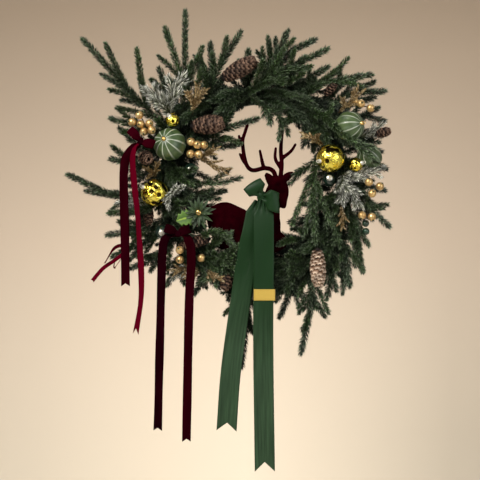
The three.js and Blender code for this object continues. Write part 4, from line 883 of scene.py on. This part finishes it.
def ornament(place, radius, to_cap, shape, skin, columns, rows, wide, cap, sunk=0):
    """A ball with its cap, let in by so many mm, and the wire that holds it."""
    return [ball(place, radius, to_cap, shape, skin, columns, rows),
            *cap_with_loop(place, radius - sunk, to_cap, wide, cap), wire_to_ring(place)]


striped_balls = {
    "green_ball_left": ((-212, 100, 80), 40, (-14, 12, 40)),
    "green_ball_right": ((235, 145, 78), 36.5, (31, 6, 24)),
    "green_ball_low": ((288, 70, 38), 32, (-20, 28, 22)),
}


def ribs(way, angle, up):
    return 0.7 * math.cos(RIBS * angle) * (1 - up**4) - 1.8 * max(0, up - 0.9) * 10 * 0.5


for name, ball_and_cap in striped_balls.items():
    bodies = ornament(*ball_and_cap, ribs, striped_skin, 132, 40, 5.5, gilt_cap, 0.6)
    piece(name + "_glass", bodies, "striped_green", [name])

# Balls of thin gilt metal, dented all over as if hammered, with a ring cap on a short collar. The
# deepest dents are painted near black as a painted dark reflection.
beaten_gold = new_finish("beaten_gold", (0.95, 0.75, 0.2), 0.16, Metallic=1.0)
parts = tone_parts(beaten_gold)
shiny = shades(beaten_gold, lumps_of(beaten_gold, 70, 1),
               [(0.3, (0.92, 0.64, 0.04)), (0.65, (1.0, 0.88, 0.16))])
# Painted reflection: deep in the dents the gold is painted near black.
painted_dark_reflection_in_dent = shades(beaten_gold, parts["Blue"], [(0.45, 0.0), (0.62, 1.0)])
paint(beaten_gold, blend(beaten_gold, painted_dark_reflection_in_dent, shiny, (0.035, 0.02, 0.004)))
bumps(beaten_gold, lumps_of(beaten_gold, 160, 1), 0.003)
gold_balls = {
    "gold_bauble_right": ((187, 65, 85), 35, (-28, -8, 20)),
    "gold_bauble_small": ((250, 50, 72), 18, (16, 4, 10)),
    "gold_bauble_left": ((-250, -20, 80), 34, (-29, 14, 20)),
    "gold_bauble_top": ((-205, 160, 86), 17.5, (-9, 11, 20)),
}
DENTS = 26
DENT_WIDTH = 0.26
DENT_DEPTH = 0.075
for number, (name, ball_and_cap) in enumerate(gold_balls.items()):
    draws = np.random.default_rng(160 + number)
    dents = [Vector(way).normalized() for way in draws.normal(0, 1, (DENTS, 3))]
    radius = ball_and_cap[1]

    def dented(way, angle, up):
        depth = sum(max(0.0, 1 - (way - dent).length_squared / DENT_WIDTH**2) for dent in dents)
        return -DENT_DEPTH * radius * min(1.0, depth) if up < 0.9 else 0.0

    bodies = ornament(*ball_and_cap, dented, beaten_gold, 96, 60, 5.5, pale_cap)
    piece(name + "_metal", bodies, "mirror_gold", [name])

# Small dark glass balls that sit deep between the sprays and face the viewer with their pale caps.
dark_glass = mottled("dark_glass", (0.006, 0.02, 0.014), 0.08, 80,
                     [(0.3, (0.003, 0.010, 0.007)), (0.7, (0.012, 0.03, 0.02))], 250, 0.0003,
                     Coat_Weight=1.0, Coat_Roughness=0.03)
dark_balls = {
    "dark_bauble_left": ((-160, 37, 60), 18, (-1, 0, 10)),
    "dark_bauble_right": ((185, 13, 60), 18, (0, 2, 10)),
    "dark_bauble_low": ((-232, -118, 68), 17, (0, -1, 10)),
}
for name, ball_and_cap in dark_balls.items():
    bodies = ornament(*ball_and_cap, lambda way, angle, up: 0.0, dark_glass, 48, 30, 7.4, pale_cap)
    piece(name + "_glass", bodies, "dark_gloss", [name])

# A rosette of narrow green leaves, folded along their midribs, round a small cap, and one broad pale
# leaf with lobes beside it. The leaves are pressed cloth on wires.
leaf_skin = new_finish("leaf_skin", (0.08, 0.16, 0.04), 0.5, Sheen_Weight=0.2)
parts = tone_parts(leaf_skin)
vein = shades(leaf_skin, parts["Red"],
              [(0.0, (0.09, 0.16, 0.03)), (0.18, (0.014, 0.038, 0.008)), (1.0, (0.032, 0.075, 0.014))])
paler = shades(leaf_skin, parts["Blue"], [(0.0, 0.5), (0.6, 1.0), (1.0, (4.4, 3.6, 2.2))])
paint(leaf_skin, times(leaf_skin, vein, paler))
bumps(leaf_skin, lumps_of(leaf_skin, 500), 0.0005)
LEAF_THICKNESS = 0.0007


def leaf(start, way, long, wide, rise, own, fold=0.35, rows=12, columns=7, outline=None):
    """A leaf from a start along a way in the wreath's plane, folded up on both sides of its midrib."""
    start = np.array(start, float)
    way = np.array((*way, 0.0)) / np.linalg.norm(way)
    across = np.array((-way[1], way[0], 0.0))
    share = np.linspace(0, 1, rows)
    plain = np.sin(np.pi * np.clip(share, 0.04, 0.985) ** 0.8)
    half = wide / 2 * (plain if outline is None else np.interp(share, *outline))
    over = np.linspace(-1, 1, columns)
    grid, tones = [], []
    for s, h in zip(share, half):
        line = start + way * long * s + np.array((0, 0, rise * math.sin(2.2 * s)))
        grid.append([spot(*(line + across * h * o + (0, 0, fold * abs(h * o)))) for o in over])
        tones.append([(abs(o), s, own, 1) for o in over])
    return plate(grid, LEAF_THICKNESS, leaf_skin, tones)


centre = np.array((-140, -70, 84.0))
draws = np.random.default_rng(200)
bodies = [wire_to_ring(tuple(centre), 201), *cap_with_loop(tuple(centre), 5, (0, 0, 1), 6.5, gilt_cap)]
# Each layer: how many leaves, how long they are and how far they rise.
LEAF_LAYERS = ((9, 41, 3), (9, 31, 9), (6, 20, 12))
for layer, (count, long, rise) in enumerate(LEAF_LAYERS):
    for n in range(count):
        angle = 2 * math.pi * (n + 0.37 * layer) / count + 0.2 + draws.normal(0, 0.08)
        way = (math.cos(angle), math.sin(angle))
        start = centre + np.array((*way, 0)) * 4
        own_length = long * draws.uniform(0.85, 1.05)
        bodies.append(leaf(start, way, own_length, 9 - layer, rise, draws.uniform(0.1, 0.6)))
# The broad leaf's outline: shares of its length, and its half width there.
LOBES = ((0, 0.12, 0.25, 0.34, 0.46, 0.55, 0.68, 0.78, 0.9, 1),
         (0.1, 0.75, 0.5, 1, 0.6, 1, 0.55, 0.75, 0.3, 0.04))
bodies.append(leaf(centre + (-8, -6, -2), (-1, -0.3), 50, 44, 6, 0.95, 0.12, 24, 9, LOBES))
piece("leaf_rosette_leaves", bodies, "leaf_green", ["leaf_rosette"])

# The lying deer: a rigid foam body covered with dark burgundy flock, with its legs folded under it
# and its head turned to the right. Two stout wires hold it to the ring, and its antlers are let into
# the head and flocked like it.
flock = new_finish("flock", (0.03, 0.003, 0.006), 0.95, Sheen_Weight=0.02, Sheen_Roughness=0.4,
                   Sheen_Tint=(0.8, 0.02, 0.08, 1.0), Specular_IOR_Level=0.0)
worn = shades(flock, lumps_of(flock, 28, 4), [(0.3, (0.006, 0.0002, 0.0009)), (0.7, (0.022, 0.0005, 0.0024))])
paint(flock, worn)
bumps(flock, lumps_of(flock, 2200, 2), 0.0006)
DEER_SECTIONS = [
    [(-119, -98, 40, 18, 14), (-108, -96, 40, 44, 27), (-80, -98, 40, 57, 34), (-48, -104, 41, 50, 34),
     (-10, -116, 44, 42, 32), (28, -112, 48, 43, 30), (54, -108, 50, 32, 22), (64, -108, 50, 16, 11)],
    [(18, -128, 50, 34, 26), (30, -84, 54, 33, 25), (40, -46, 58, 23, 19), (46, -14, 60, 19, 17),
     (52, 2, 61, 13, 13)],
    [(60, 23, 60, 8, 8), (59, 14, 61, 15, 13), (60, 2, 63, 20, 17), (64, -18, 66, 21, 18),
     (66, -37, 69, 16, 15), (69, -49, 71, 11, 11), (71, -56, 72, 7, 8), (71, -60, 72, 3, 4)],
    [(52, -4, 62, 7, 5), (41, 9, 66, 13, 5), (31, 23, 68, 9, 4), (26, 31, 68, 2.5, 2)],
    [(66, 8, 58, 7, 5), (78, 19, 57, 11, 5), (90, 28, 56, 8, 4), (97, 33, 56, 2.5, 2)],
    [(-98, -140, 48, 14, 12), (-60, -148, 60, 18, 16), (-22, -146, 64, 15, 13), (6, -152, 64, 9, 9)],
    [(50, -126, 52, 18, 15), (66, -144, 55, 15, 14), (44, -158, 60, 13, 12), (14, -162, 62, 9, 9)],
    [(-106, -66, 40, 9, 7), (-124, -55, 38, 8, 6), (-131, -44, 38, 3, 3)],
]
DEER_WIRES = [((-70, -140, 40), 252), ((40, -140, 50), 280)]


LIMB_SIDES = 20


def limb(sections, finish):
    """A closed body through sections (x, z, out, half height, half thickness), drawn out smoothly."""
    sections = np.array(sections, float)
    smooth = curve_through(sections, 6)
    smooth[:, 3:] = np.maximum(smooth[:, 3:], 1.5)
    places = np.array([spot(x, z, out) for x, z, out in smooth[:, :3]])
    along = np.gradient(places, axis=0)
    along[:, 1] = 0
    along /= np.linalg.norm(along, axis=1)[:, None]
    up = np.cross((0, 1, 0), along)
    corners = []
    for place, rise, (high, thick) in zip(places, up, smooth[:, 3:] / 1000):
        for angle in (2 * math.pi * k / LIMB_SIDES for k in range(LIMB_SIDES)):
            back = np.array((0, 1, 0)) * thick * math.sin(angle)
            corners.append(place + rise * high * math.cos(angle) + back)
    return np.array(corners), closed_faces(len(places), LIMB_SIDES), finish


def grown_together(name, bodies, voxel, rounds, slot, nodes, finish):
    """One smooth skin over bodies that overlap."""
    rough = piece(name + "_rough", bodies, slot)
    melt = rough.modifiers.new("melt", "REMESH")
    melt.mode = "VOXEL"
    melt.voxel_size = voxel
    ease = rough.modifiers.new("ease", "SMOOTH")
    ease.factor = 0.5
    ease.iterations = rounds
    bpy.context.view_layer.update()
    skin = bpy.data.meshes.new_from_object(rough.evaluated_get(bpy.context.evaluated_depsgraph_get()))
    bpy.data.objects.remove(rough)
    corners = np.array([corner.co for corner in skin.vertices])
    faces = [tuple(face.vertices) for face in skin.polygons]
    return piece(name, [(corners, faces, finish)], slot, nodes)


grown_together("deer_flocked", [limb(sections, flock) for sections in DEER_SECTIONS], 0.0026, 9,
               "burgundy_flock", ["deer"], flock)
wires = [rod([place, on_ring(degrees, 15)], 3, lacquered_wire) for place, degrees in DEER_WIRES]
piece("deer_wires", wires, "wire", ["deer"])
ANTLERS = {
    "antler_left": [
        ((54, 12, 62), (45, 35, 62), (25, 42, 62), (-7, 37, 60), (-23, 56, 58), (-31, 106, 55),
         (-25, 132, 54), (-19, 150, 54)),
        ((-20, 50, 58), (-30, 62, 60), (-38, 78, 62)),
        ((-31, 104, 55), (-38, 114, 57), (-40, 124, 58)),
        ((22, 41, 62), (17, 62, 66), (12, 86, 68)),
    ],
    "antler_right": [
        ((63, 12, 56), (67, 52, 52), (65, 85, 48), (67, 120, 44), (70, 142, 42)),
        ((64, 44, 52), (51, 66, 55), (52, 93, 58)),
        ((66, 66, 50), (90, 85, 50), (102, 103, 50)),
    ],
}
# The radius of a beam and of its tines, at the foot and at the tip.
BEAM = (6.2, 4.4)
TINE = (5.3, 3.4)
for name, branches in ANTLERS.items():
    bodies = [rod(route, foot, flock, tip, sides=12, step=0.004)
              for route, (foot, tip) in zip(branches, (BEAM, TINE, TINE, TINE))]
    grown_together(name + "_flocked", bodies, 0.0013, 5, "burgundy_flock", [name], flock)

# The wide bow of dark green satin ribbon, 50 mm wide, at the deer's neck: two loops gathered at a
# knot, and two long tails cut to swallowtails. Its weave shows as fine streaks along the ribbon.
satin = new_finish("satin", (0.01, 0.05, 0.018), 0.45, Sheen_Weight=0.1, Sheen_Roughness=0.35,
                   Sheen_Tint=(0.35, 0.6, 0.3, 1.0), Specular_IOR_Level=0.18, Anisotropic=0.5)
parts = tone_parts(satin)
stretched = add_node(satin, "ShaderNodeMapping", {"Scale": (160.0, 7.0, 1.0)})
connect(satin, tone_of(satin), stretched.inputs["Vector"])
threads = add_node(satin, "ShaderNodeTexNoise", {"Scale": 1.0, "Detail": 3.0})
connect(satin, stretched.outputs["Vector"], threads.inputs["Vector"])
streaks = shades(satin, threads.outputs["Fac"], [(0.3, 0.6), (0.7, 1.4)])
streaked = times(satin, (0.030, 0.060, 0.029), streaks)
# Painted light: where a ribbon's painted light is high, the dark green turns to a lighter streaked green.
paint(satin, blend(satin, parts["Blue"], (0.008, 0.031, 0.008), streaked))
bumps(satin, threads.outputs["Fac"], 0.0004)

GREEN_WIDTH = 50
RIBBON_THICKNESS = 0.0006


def gathered(share, pinch):
    """How much of its width a ribbon keeps at a share of its length."""
    if pinch == "start":
        return min(1.0, 0.40 + 11 * share)
    if pinch == "ends":
        return 0.34 + 0.66 * min(1.0, 1.7 * math.sin(math.pi * share))
    return 1.0


def ribbon(route, across, width, finish, pinch, notch=0, pleats=3, wave=0.0, cup=0.0, step=0.004,
           columns=13, painted_light=lambda share: 0.0):
    """A ribbon along a route, flat along the direction across, and its length. It is folded in
    pleats where it is gathered, its end is cut to a swallowtail, and the given function tells how much
    painted light, a painted sheen, it has at a share of its length. Its tones are (across, along,
    painted light, 1)."""
    points, directions, run = smooth_route(route, step)
    across = np.array((across[0], -across[2], across[1]), float)
    wide = across - directions * (directions @ across)[:, None]
    wide /= np.linalg.norm(wide, axis=1)[:, None]
    face = np.cross(directions, wide)
    rows = len(points)
    share = np.linspace(0, 1, rows)
    over = np.linspace(-1, 1, columns)
    grid = np.zeros((rows, columns, 3))
    tones = np.zeros((rows, columns, 4))
    for k, o in enumerate(over):
        lost = notch / 1000 * (1 - abs(o)) / run
        for i in range(rows):
            at = share[i] * (1 - lost)
            exact = at * (rows - 1)
            low = min(int(exact), rows - 2)
            part = exact - low
            kept = gathered(at, pinch)
            folds = (1 - kept) * width / 1000 * 0.22
            lift = folds * math.cos(math.pi * pleats * o) + cup * width / 1000 * (o * o - 0.33)
            lift += wave / 1000 * math.sin(9 * at * run / 0.3 + 2.1 * o) * min(1, at * 6)
            centre = points[low] * (1 - part) + points[low + 1] * part
            side = wide[low] * (1 - part) + wide[low + 1] * part
            front = face[low] * (1 - part) + face[low + 1] * part
            grid[i, k] = centre + side * (o * width / 2000 * kept) + front * lift
            tones[i, k] = (o * width / 2000, at * run, painted_light(at), 1)
    return plate(grid, RIBBON_THICKNESS, finish, tones), run


def knot(place, size, finish, creases=9):
    """The band of ribbon drawn round the middle of a bow, with its creases."""
    centre = spot(*place)

    def corner_at(rise, angle):
        swell = 1 + 0.05 * math.sin(creases * angle + 2 * rise)
        way = np.array((math.cos(rise) * math.cos(angle), math.cos(rise) * math.sin(angle), math.sin(rise)))
        boxed = way / max(np.abs(way)) * 0.35 + way * 0.65
        return centre + boxed * np.array(size) * swell / 1000, (way[0] * 0.02, angle * 0.01, 0.0, 1)

    return globe(20, 36, corner_at, finish)


GREEN_LOOPS = [
    (((14, -26, 100), (2, -12, 112), (-9, 2, 108), (-6, -2, 96), (10, -22, 93)), (40, 27, 0)),
    (((18, -31, 100), (38, -40, 114), (58, -47, 109), (44, -42, 97), (20, -33, 94)), (8, -50, 0)),
]
GREEN_TAILS = {
    "green_tail_left": (((8, -40, 93), (-5, -108, 96), (-18, -167, 93), (-36, -287, 89), (-60, -462, 85),
                         (-71, -611, 83)), (50, 6, 0), 20),
    "green_tail_right": (((20, -38, 99), (21, -110, 104), (21, -200, 102), (20, -400, 95), (24, -711, 89)),
                         (50, 0, 0), 24),
}
# The ribbon in each knot, in metres.
VELVET_KNOT = 0.03
THIN_KNOT = 0.015
bodies, bow_length = [], 0
for route, across in GREEN_LOOPS:
    body, length = ribbon(route, across, GREEN_WIDTH, satin, "ends", step=0.0025, pleats=2, cup=0.06)
    bodies.append(body)
    bow_length += length
bodies.append(knot((15, -29, 97), (10.5, 7.5, 12.5), satin))
green_bow = piece("green_bow_loops", bodies, "green_satin", ["green_bow"])
bow_wire = rod([(15, -29, 96), (36, -56, 58)], 1.5, lacquered_wire)
piece("green_bow_wire", [bow_wire], "wire", ["green_bow"])


def painted_light_down_tail(share):
    """Painted light on a tail: none in the fold under the knot, which stays dark, and a lighter streaked
    green from a third of the tail on.
    """
    return min(1, max(0, (share - 0.30) * 3))


for name, (route, across, notch) in GREEN_TAILS.items():
    # The tails take painted light from a third of their length on.
    body, length = ribbon(route, across, GREEN_WIDTH, satin, "start", notch, wave=1.6, cup=0.02,
                          painted_light=painted_light_down_tail)
    tail = piece(name + "_satin", [body], "green_satin", [name])

# The small woven label on the right tail, yellow and bare, with its edges sewn down.
label_cloth = new_finish("label_cloth", (0.70, 0.47, 0.07), 0.6, Sheen_Weight=0.2)
weave = add_node(label_cloth, "ShaderNodeTexWave", {"Scale": 520.0, "Distortion": 0.6}, bands_direction="X")
where = add_node(label_cloth, "ShaderNodeTexCoord")
connect(label_cloth, where.outputs["Object"], weave.inputs["Vector"])
paint(label_cloth, shades(label_cloth, weave.outputs["Fac"],
                          [(0.2, (0.55, 0.34, 0.04)), (0.8, (0.78, 0.55, 0.10))]))
bumps(label_cloth, weave.outputs["Fac"], 0.0002)
label_thread = mottled("label_thread", (0.42, 0.26, 0.04), 0.7, 900,
                       [(0.3, (0.30, 0.18, 0.02)), (0.7, (0.5, 0.32, 0.06))], 2500, 0.0002)
low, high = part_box("label")
front, back = low[1], high[1]
LABEL_THICKNESS = 0.0007
columns, rows = 17, 11
grid = [[(low[0] + (high[0] - low[0]) * k / (columns - 1),
          (front + back) / 2 + 0.0004 * math.sin(5 * k / (columns - 1)),
          high[2] - (high[2] - low[2]) * i / (rows - 1)) for k in range(columns)] for i in range(rows)]
label = piece("label_woven", [plate(grid, LABEL_THICKNESS, label_cloth)], "yellow_label", ["label"])
THREAD_RADIUS = 0.00025
stitches = []
inset, stitch = 0.0018, 0.0022
for run, other in ((0, 2), (2, 0)):
    for at in np.arange(low[run] + inset, high[run] - inset - stitch, stitch * 1.5):
        for beside in (low[other] + inset, high[other] - inset):
            ends = np.full((3, 3), beside)
            ends[:, run] = at, at + stitch / 2, at + stitch
            ends[:, 1] = front + 0.0001, front - 0.0001, front + 0.0001
            along = np.tile(np.eye(3)[run], (3, 1))
            stitches.append((*tube(ends, along, np.full(3, THREAD_RADIUS), 5), label_thread))
piece("label_stitches", stitches, "yellow_label", ["label"])

# Bows of burgundy velvet ribbon, 22 mm wide: each has two loops and two tails tied on a wire. The
# small one at the far left is of narrow ribbon with a loose end. Their bright crimson is a painted sheen.
velvet = new_finish("velvet", (0.06, 0.004, 0.012), 0.9, Sheen_Weight=0.03, Sheen_Roughness=0.35,
                    Sheen_Tint=(0.8, 0.02, 0.08, 1.0), Specular_IOR_Level=0.0)
parts = tone_parts(velvet)
nap = lumps_of(velvet, 45, 4, (1, 1, 0.25))
pile = shades(velvet, nap, [(0.3, (0.005, 0.0003, 0.0012)), (0.7, (0.015, 0.0006, 0.003))])
# Painted sheen: where a ribbon's painted light is high, the dark pile turns bright crimson.
paint(velvet, blend(velvet, parts["Blue"], pile, (0.10, 0.001, 0.009)))
bumps(velvet, lumps_of(velvet, 2600, 2), 0.0004)
VELVET_WIDTH = 22
THIN_WIDTH = 10
# Each bow: knot and its size, loops (route, across), tails (route, across, notch, painted sheen).
VELVET_BOWS = {
    "velvet_bow_upper": ((-281, 104, 116), (7.5, 9, 9), 163, [
        (((-282, 107, 120), (-296, 122, 130), (-308, 134, 124), (-297, 123, 114), (-282, 106, 112)),
         (15, 15, 0)),
        (((-280, 103, 120), (-262, 99, 130), (-247, 96, 124), (-262, 99, 115), (-280, 103, 112)),
         (-10, -22, 0)),
    ], [
        (((-282, 102, 116), (-298, 84, 118), (-301, 37, 112), (-291, -60, 105), (-287, -125, 100),
          (-281, -265, 92), (-296, -370, 90)), (1, 0, 1.1), 14, 1.0),
        (((-282, 102, 112), (-312, 74, 110), (-324, 27, 102), (-322, -125, 93), (-321, -252, 89)),
         (1, 0, -0.3), 7, 0.15),
    ]),
    "velvet_bow_lower": ((-190, -122, 112), (7.5, 8, 8), 214, [
        (((-192, -120, 114), (-208, -112, 124), (-222, -108, 118), (-208, -112, 108), (-192, -121, 108)),
         (8, 22, 0)),
        (((-188, -121, 114), (-174, -114, 124), (-160, -110, 120), (-174, -114, 112), (-188, -121, 109)),
         (-8, 22, 0)),
    ], [
        (((-194, -124, 112), (-220, -134, 114), (-228, -165, 108), (-232, -262, 100), (-241, -609, 92)),
         (1, 0, 0.3), 7, 0.0),
        (((-186, -124, 112), (-166, -134, 118), (-157, -178, 110), (-163, -297, 102), (-170, -636, 94)),
         (1, 0, -0.2), 7, 0.12),
    ]),
}


for name, (place, size, degrees, loops, tails) in VELVET_BOWS.items():
    # Painted sheen on the loops, more on the upper bow.
    painted_loop_sheen = 0.2 if name == "velvet_bow_upper" else 0.04
    bodies, total = [knot(place, size, velvet, 6)], VELVET_KNOT
    for route, across in loops:
        body, length = ribbon(route, across, VELVET_WIDTH, velvet, "ends", step=0.002, columns=9, pleats=2,
                              cup=0.05, painted_light=lambda share: painted_loop_sheen)
        bodies.append(body)
        total += length
    for route, across, notch, painted_tail_sheen in tails:
        body, length = ribbon(route, across, VELVET_WIDTH, velvet, "start", notch, wave=1.2, columns=9,
                              pleats=2, painted_light=lambda share: painted_tail_sheen)
        bodies.append(body)
        total += length
    bow = piece(name + "_ribbon", bodies, "burgundy_velvet", [name])
    piece(name + "_wire", [wire_to_ring(place, degrees)], "wire", [name])
THIN_STRANDS = [
    (((-328, -168, 70), (-332, -152, 74), (-352, -160, 76), (-375, -196, 72)), (0.4, 0.8, 0.4)),
    (((-326, -170, 70), (-350, -188, 66), (-380, -209, 64), (-407, -240, 60)), (0.6, -0.7, 0.3)),
    (((-328, -170, 68), (-340, -192, 60), (-352, -207, 56), (-350, -190, 52), (-330, -172, 58)),
     (0.4, 0.3, 1)),
]
THIN_KNOT_PLACE = (-327, -169, 66)
bodies, total = [knot(THIN_KNOT_PLACE, (5, 5, 5), velvet, 5)], THIN_KNOT
for route, across in THIN_STRANDS:
    # The narrow ribbon is painted with a strong sheen all along.
    body, length = ribbon(route, across, THIN_WIDTH, velvet, None, 2, step=0.003, columns=7, wave=0.5,
                          painted_light=lambda share: 0.9)
    bodies.append(body)
    total += length
thin = piece("thin_bow_ribbon", bodies, "burgundy_velvet", ["thin_bow"])
piece("thin_bow_wire", [wire_to_ring(THIN_KNOT_PLACE, 210)], "wire", ["thin_bow"])

# The studio: a pale floor far below the wreath, a warm backdrop painted darker towards the top and,
# low down, towards the sides as painted light falloff, soft lights, and the camera straight in front.
backdrop_finish = new_finish("backdrop_finish", (0.8, 0.72, 0.6), 1.0, Specular_IOR_Level=0.0)
where = add_node(backdrop_finish, "ShaderNodeTexCoord")
height = add_node(backdrop_finish, "ShaderNodeSeparateXYZ")
connect(backdrop_finish, where.outputs["Object"], height.inputs["Vector"])
fit = add_node(backdrop_finish, "ShaderNodeMapRange", {"From Min": -1.9, "From Max": 1.1})
connect(backdrop_finish, height.outputs["Z"], fit.inputs["Value"])
# Painted light falloff: the backdrop is painted darker from bottom to top.
plain = shades(backdrop_finish, fit.outputs["Result"],
               [(0.0, (0.61, 0.54, 0.435)), (0.5, (0.475, 0.39, 0.305)), (1.0, (0.30, 0.235, 0.173))])
# Painted light falloff across: darker towards the sides, low down.
fit_across = add_node(backdrop_finish, "ShaderNodeMapRange", {"From Min": -1.3, "From Max": 1.3})
connect(backdrop_finish, height.outputs["X"], fit_across.inputs["Value"])
painted_falloff_across = shades(backdrop_finish, fit_across.outputs["Result"], [(0.0, 0.88), (0.5, 1.0), (1.0, 0.70)])
low_down = shades(backdrop_finish, fit.outputs["Result"], [(0.1, 1.0), (0.9, 0.0)])
paint(backdrop_finish, blend(backdrop_finish, low_down, plain, painted_falloff_across, "MULTIPLY"))
floor_finish = new_finish("floor_finish", (0.8, 0.74, 0.65), 0.9)


def screen(name, corners, finish):
    mesh = bpy.data.meshes.new(name)
    mesh.from_pydata(corners, [], [(0, 1, 2, 3)])
    mesh.materials.append(finish)
    made = bpy.data.objects.new(name, mesh)
    bpy.context.scene.collection.objects.link(made)
    return made


FLOOR_HEIGHT = -2.2
WALL_DEPTH = 4.5
ROOM_SIDE = 9
ROOM_TOP = 6
screen("backdrop", [(x, WALL_DEPTH, z) for x, z in ((-ROOM_SIDE, FLOOR_HEIGHT), (ROOM_SIDE, FLOOR_HEIGHT),
                                                    (ROOM_SIDE, ROOM_TOP), (-ROOM_SIDE, ROOM_TOP))],
       backdrop_finish)
screen("floor", [(x, y, FLOOR_HEIGHT) for x, y in ((-ROOM_SIDE, -ROOM_SIDE), (ROOM_SIDE, -ROOM_SIDE),
                                                   (ROOM_SIDE, WALL_DEPTH), (-ROOM_SIDE, WALL_DEPTH))],
       floor_finish)


def soft_light(name, place, target, size, power, colour):
    made = bpy.data.lights.new(name, "AREA")
    made.shape = "DISK"
    made.size = size
    made.energy = power
    made.color = colour
    lamp = bpy.data.objects.new(name, made)
    lamp.location = place
    lamp.rotation_euler = (Vector(target) - Vector(place)).to_track_quat("-Z", "Y").to_euler()
    bpy.context.scene.collection.objects.link(lamp)


MIDDLE = (0, 0, -0.35)
soft_light("key", (-1.6, -2.6, 1.5), MIDDLE, 1.6, 116, (1.0, 0.97, 0.92))
soft_light("fill", (2.2, -2.4, 0.2), MIDDLE, 2.2, 30, (0.95, 0.98, 1.0))
soft_light("rim", (0.4, 1.8, 2.0), MIDDLE, 1.5, 30, (1.0, 1.0, 1.0))
soft_light("wall_wash", (0, 1.0, -1.0), (0, WALL_DEPTH, -0.4), 2.5, 150, (1.0, 0.97, 0.93))
sky = bpy.data.worlds.new("sky")
sky.use_nodes = True
sky.node_tree.nodes["Background"].inputs["Color"].default_value = (1.0, 0.98, 0.95, 1)
sky.node_tree.nodes["Background"].inputs["Strength"].default_value = 0.32
bpy.context.scene.world = sky
bpy.context.scene.view_settings.view_transform = "Standard"
CAMERA_DISTANCE = 3.0
VIEW_WIDTH = 1.2
FRONT_OF_WREATH = 0.06
SENSOR_WIDTH = 36
MIDDLE_ACROSS, MIDDLE_HEIGHT = -0.0375, -0.376
lens = bpy.data.cameras.new("camera")
lens.sensor_width = SENSOR_WIDTH
lens.lens = SENSOR_WIDTH * CAMERA_DISTANCE / VIEW_WIDTH
camera = bpy.data.objects.new("camera", lens)
camera.location = (MIDDLE_ACROSS, -(CAMERA_DISTANCE + FRONT_OF_WREATH), MIDDLE_HEIGHT)
camera.rotation_euler = (math.pi / 2, 0, 0)
bpy.context.scene.collection.objects.link(camera)
bpy.context.scene.camera = camera

bpy.context.view_layer.update()
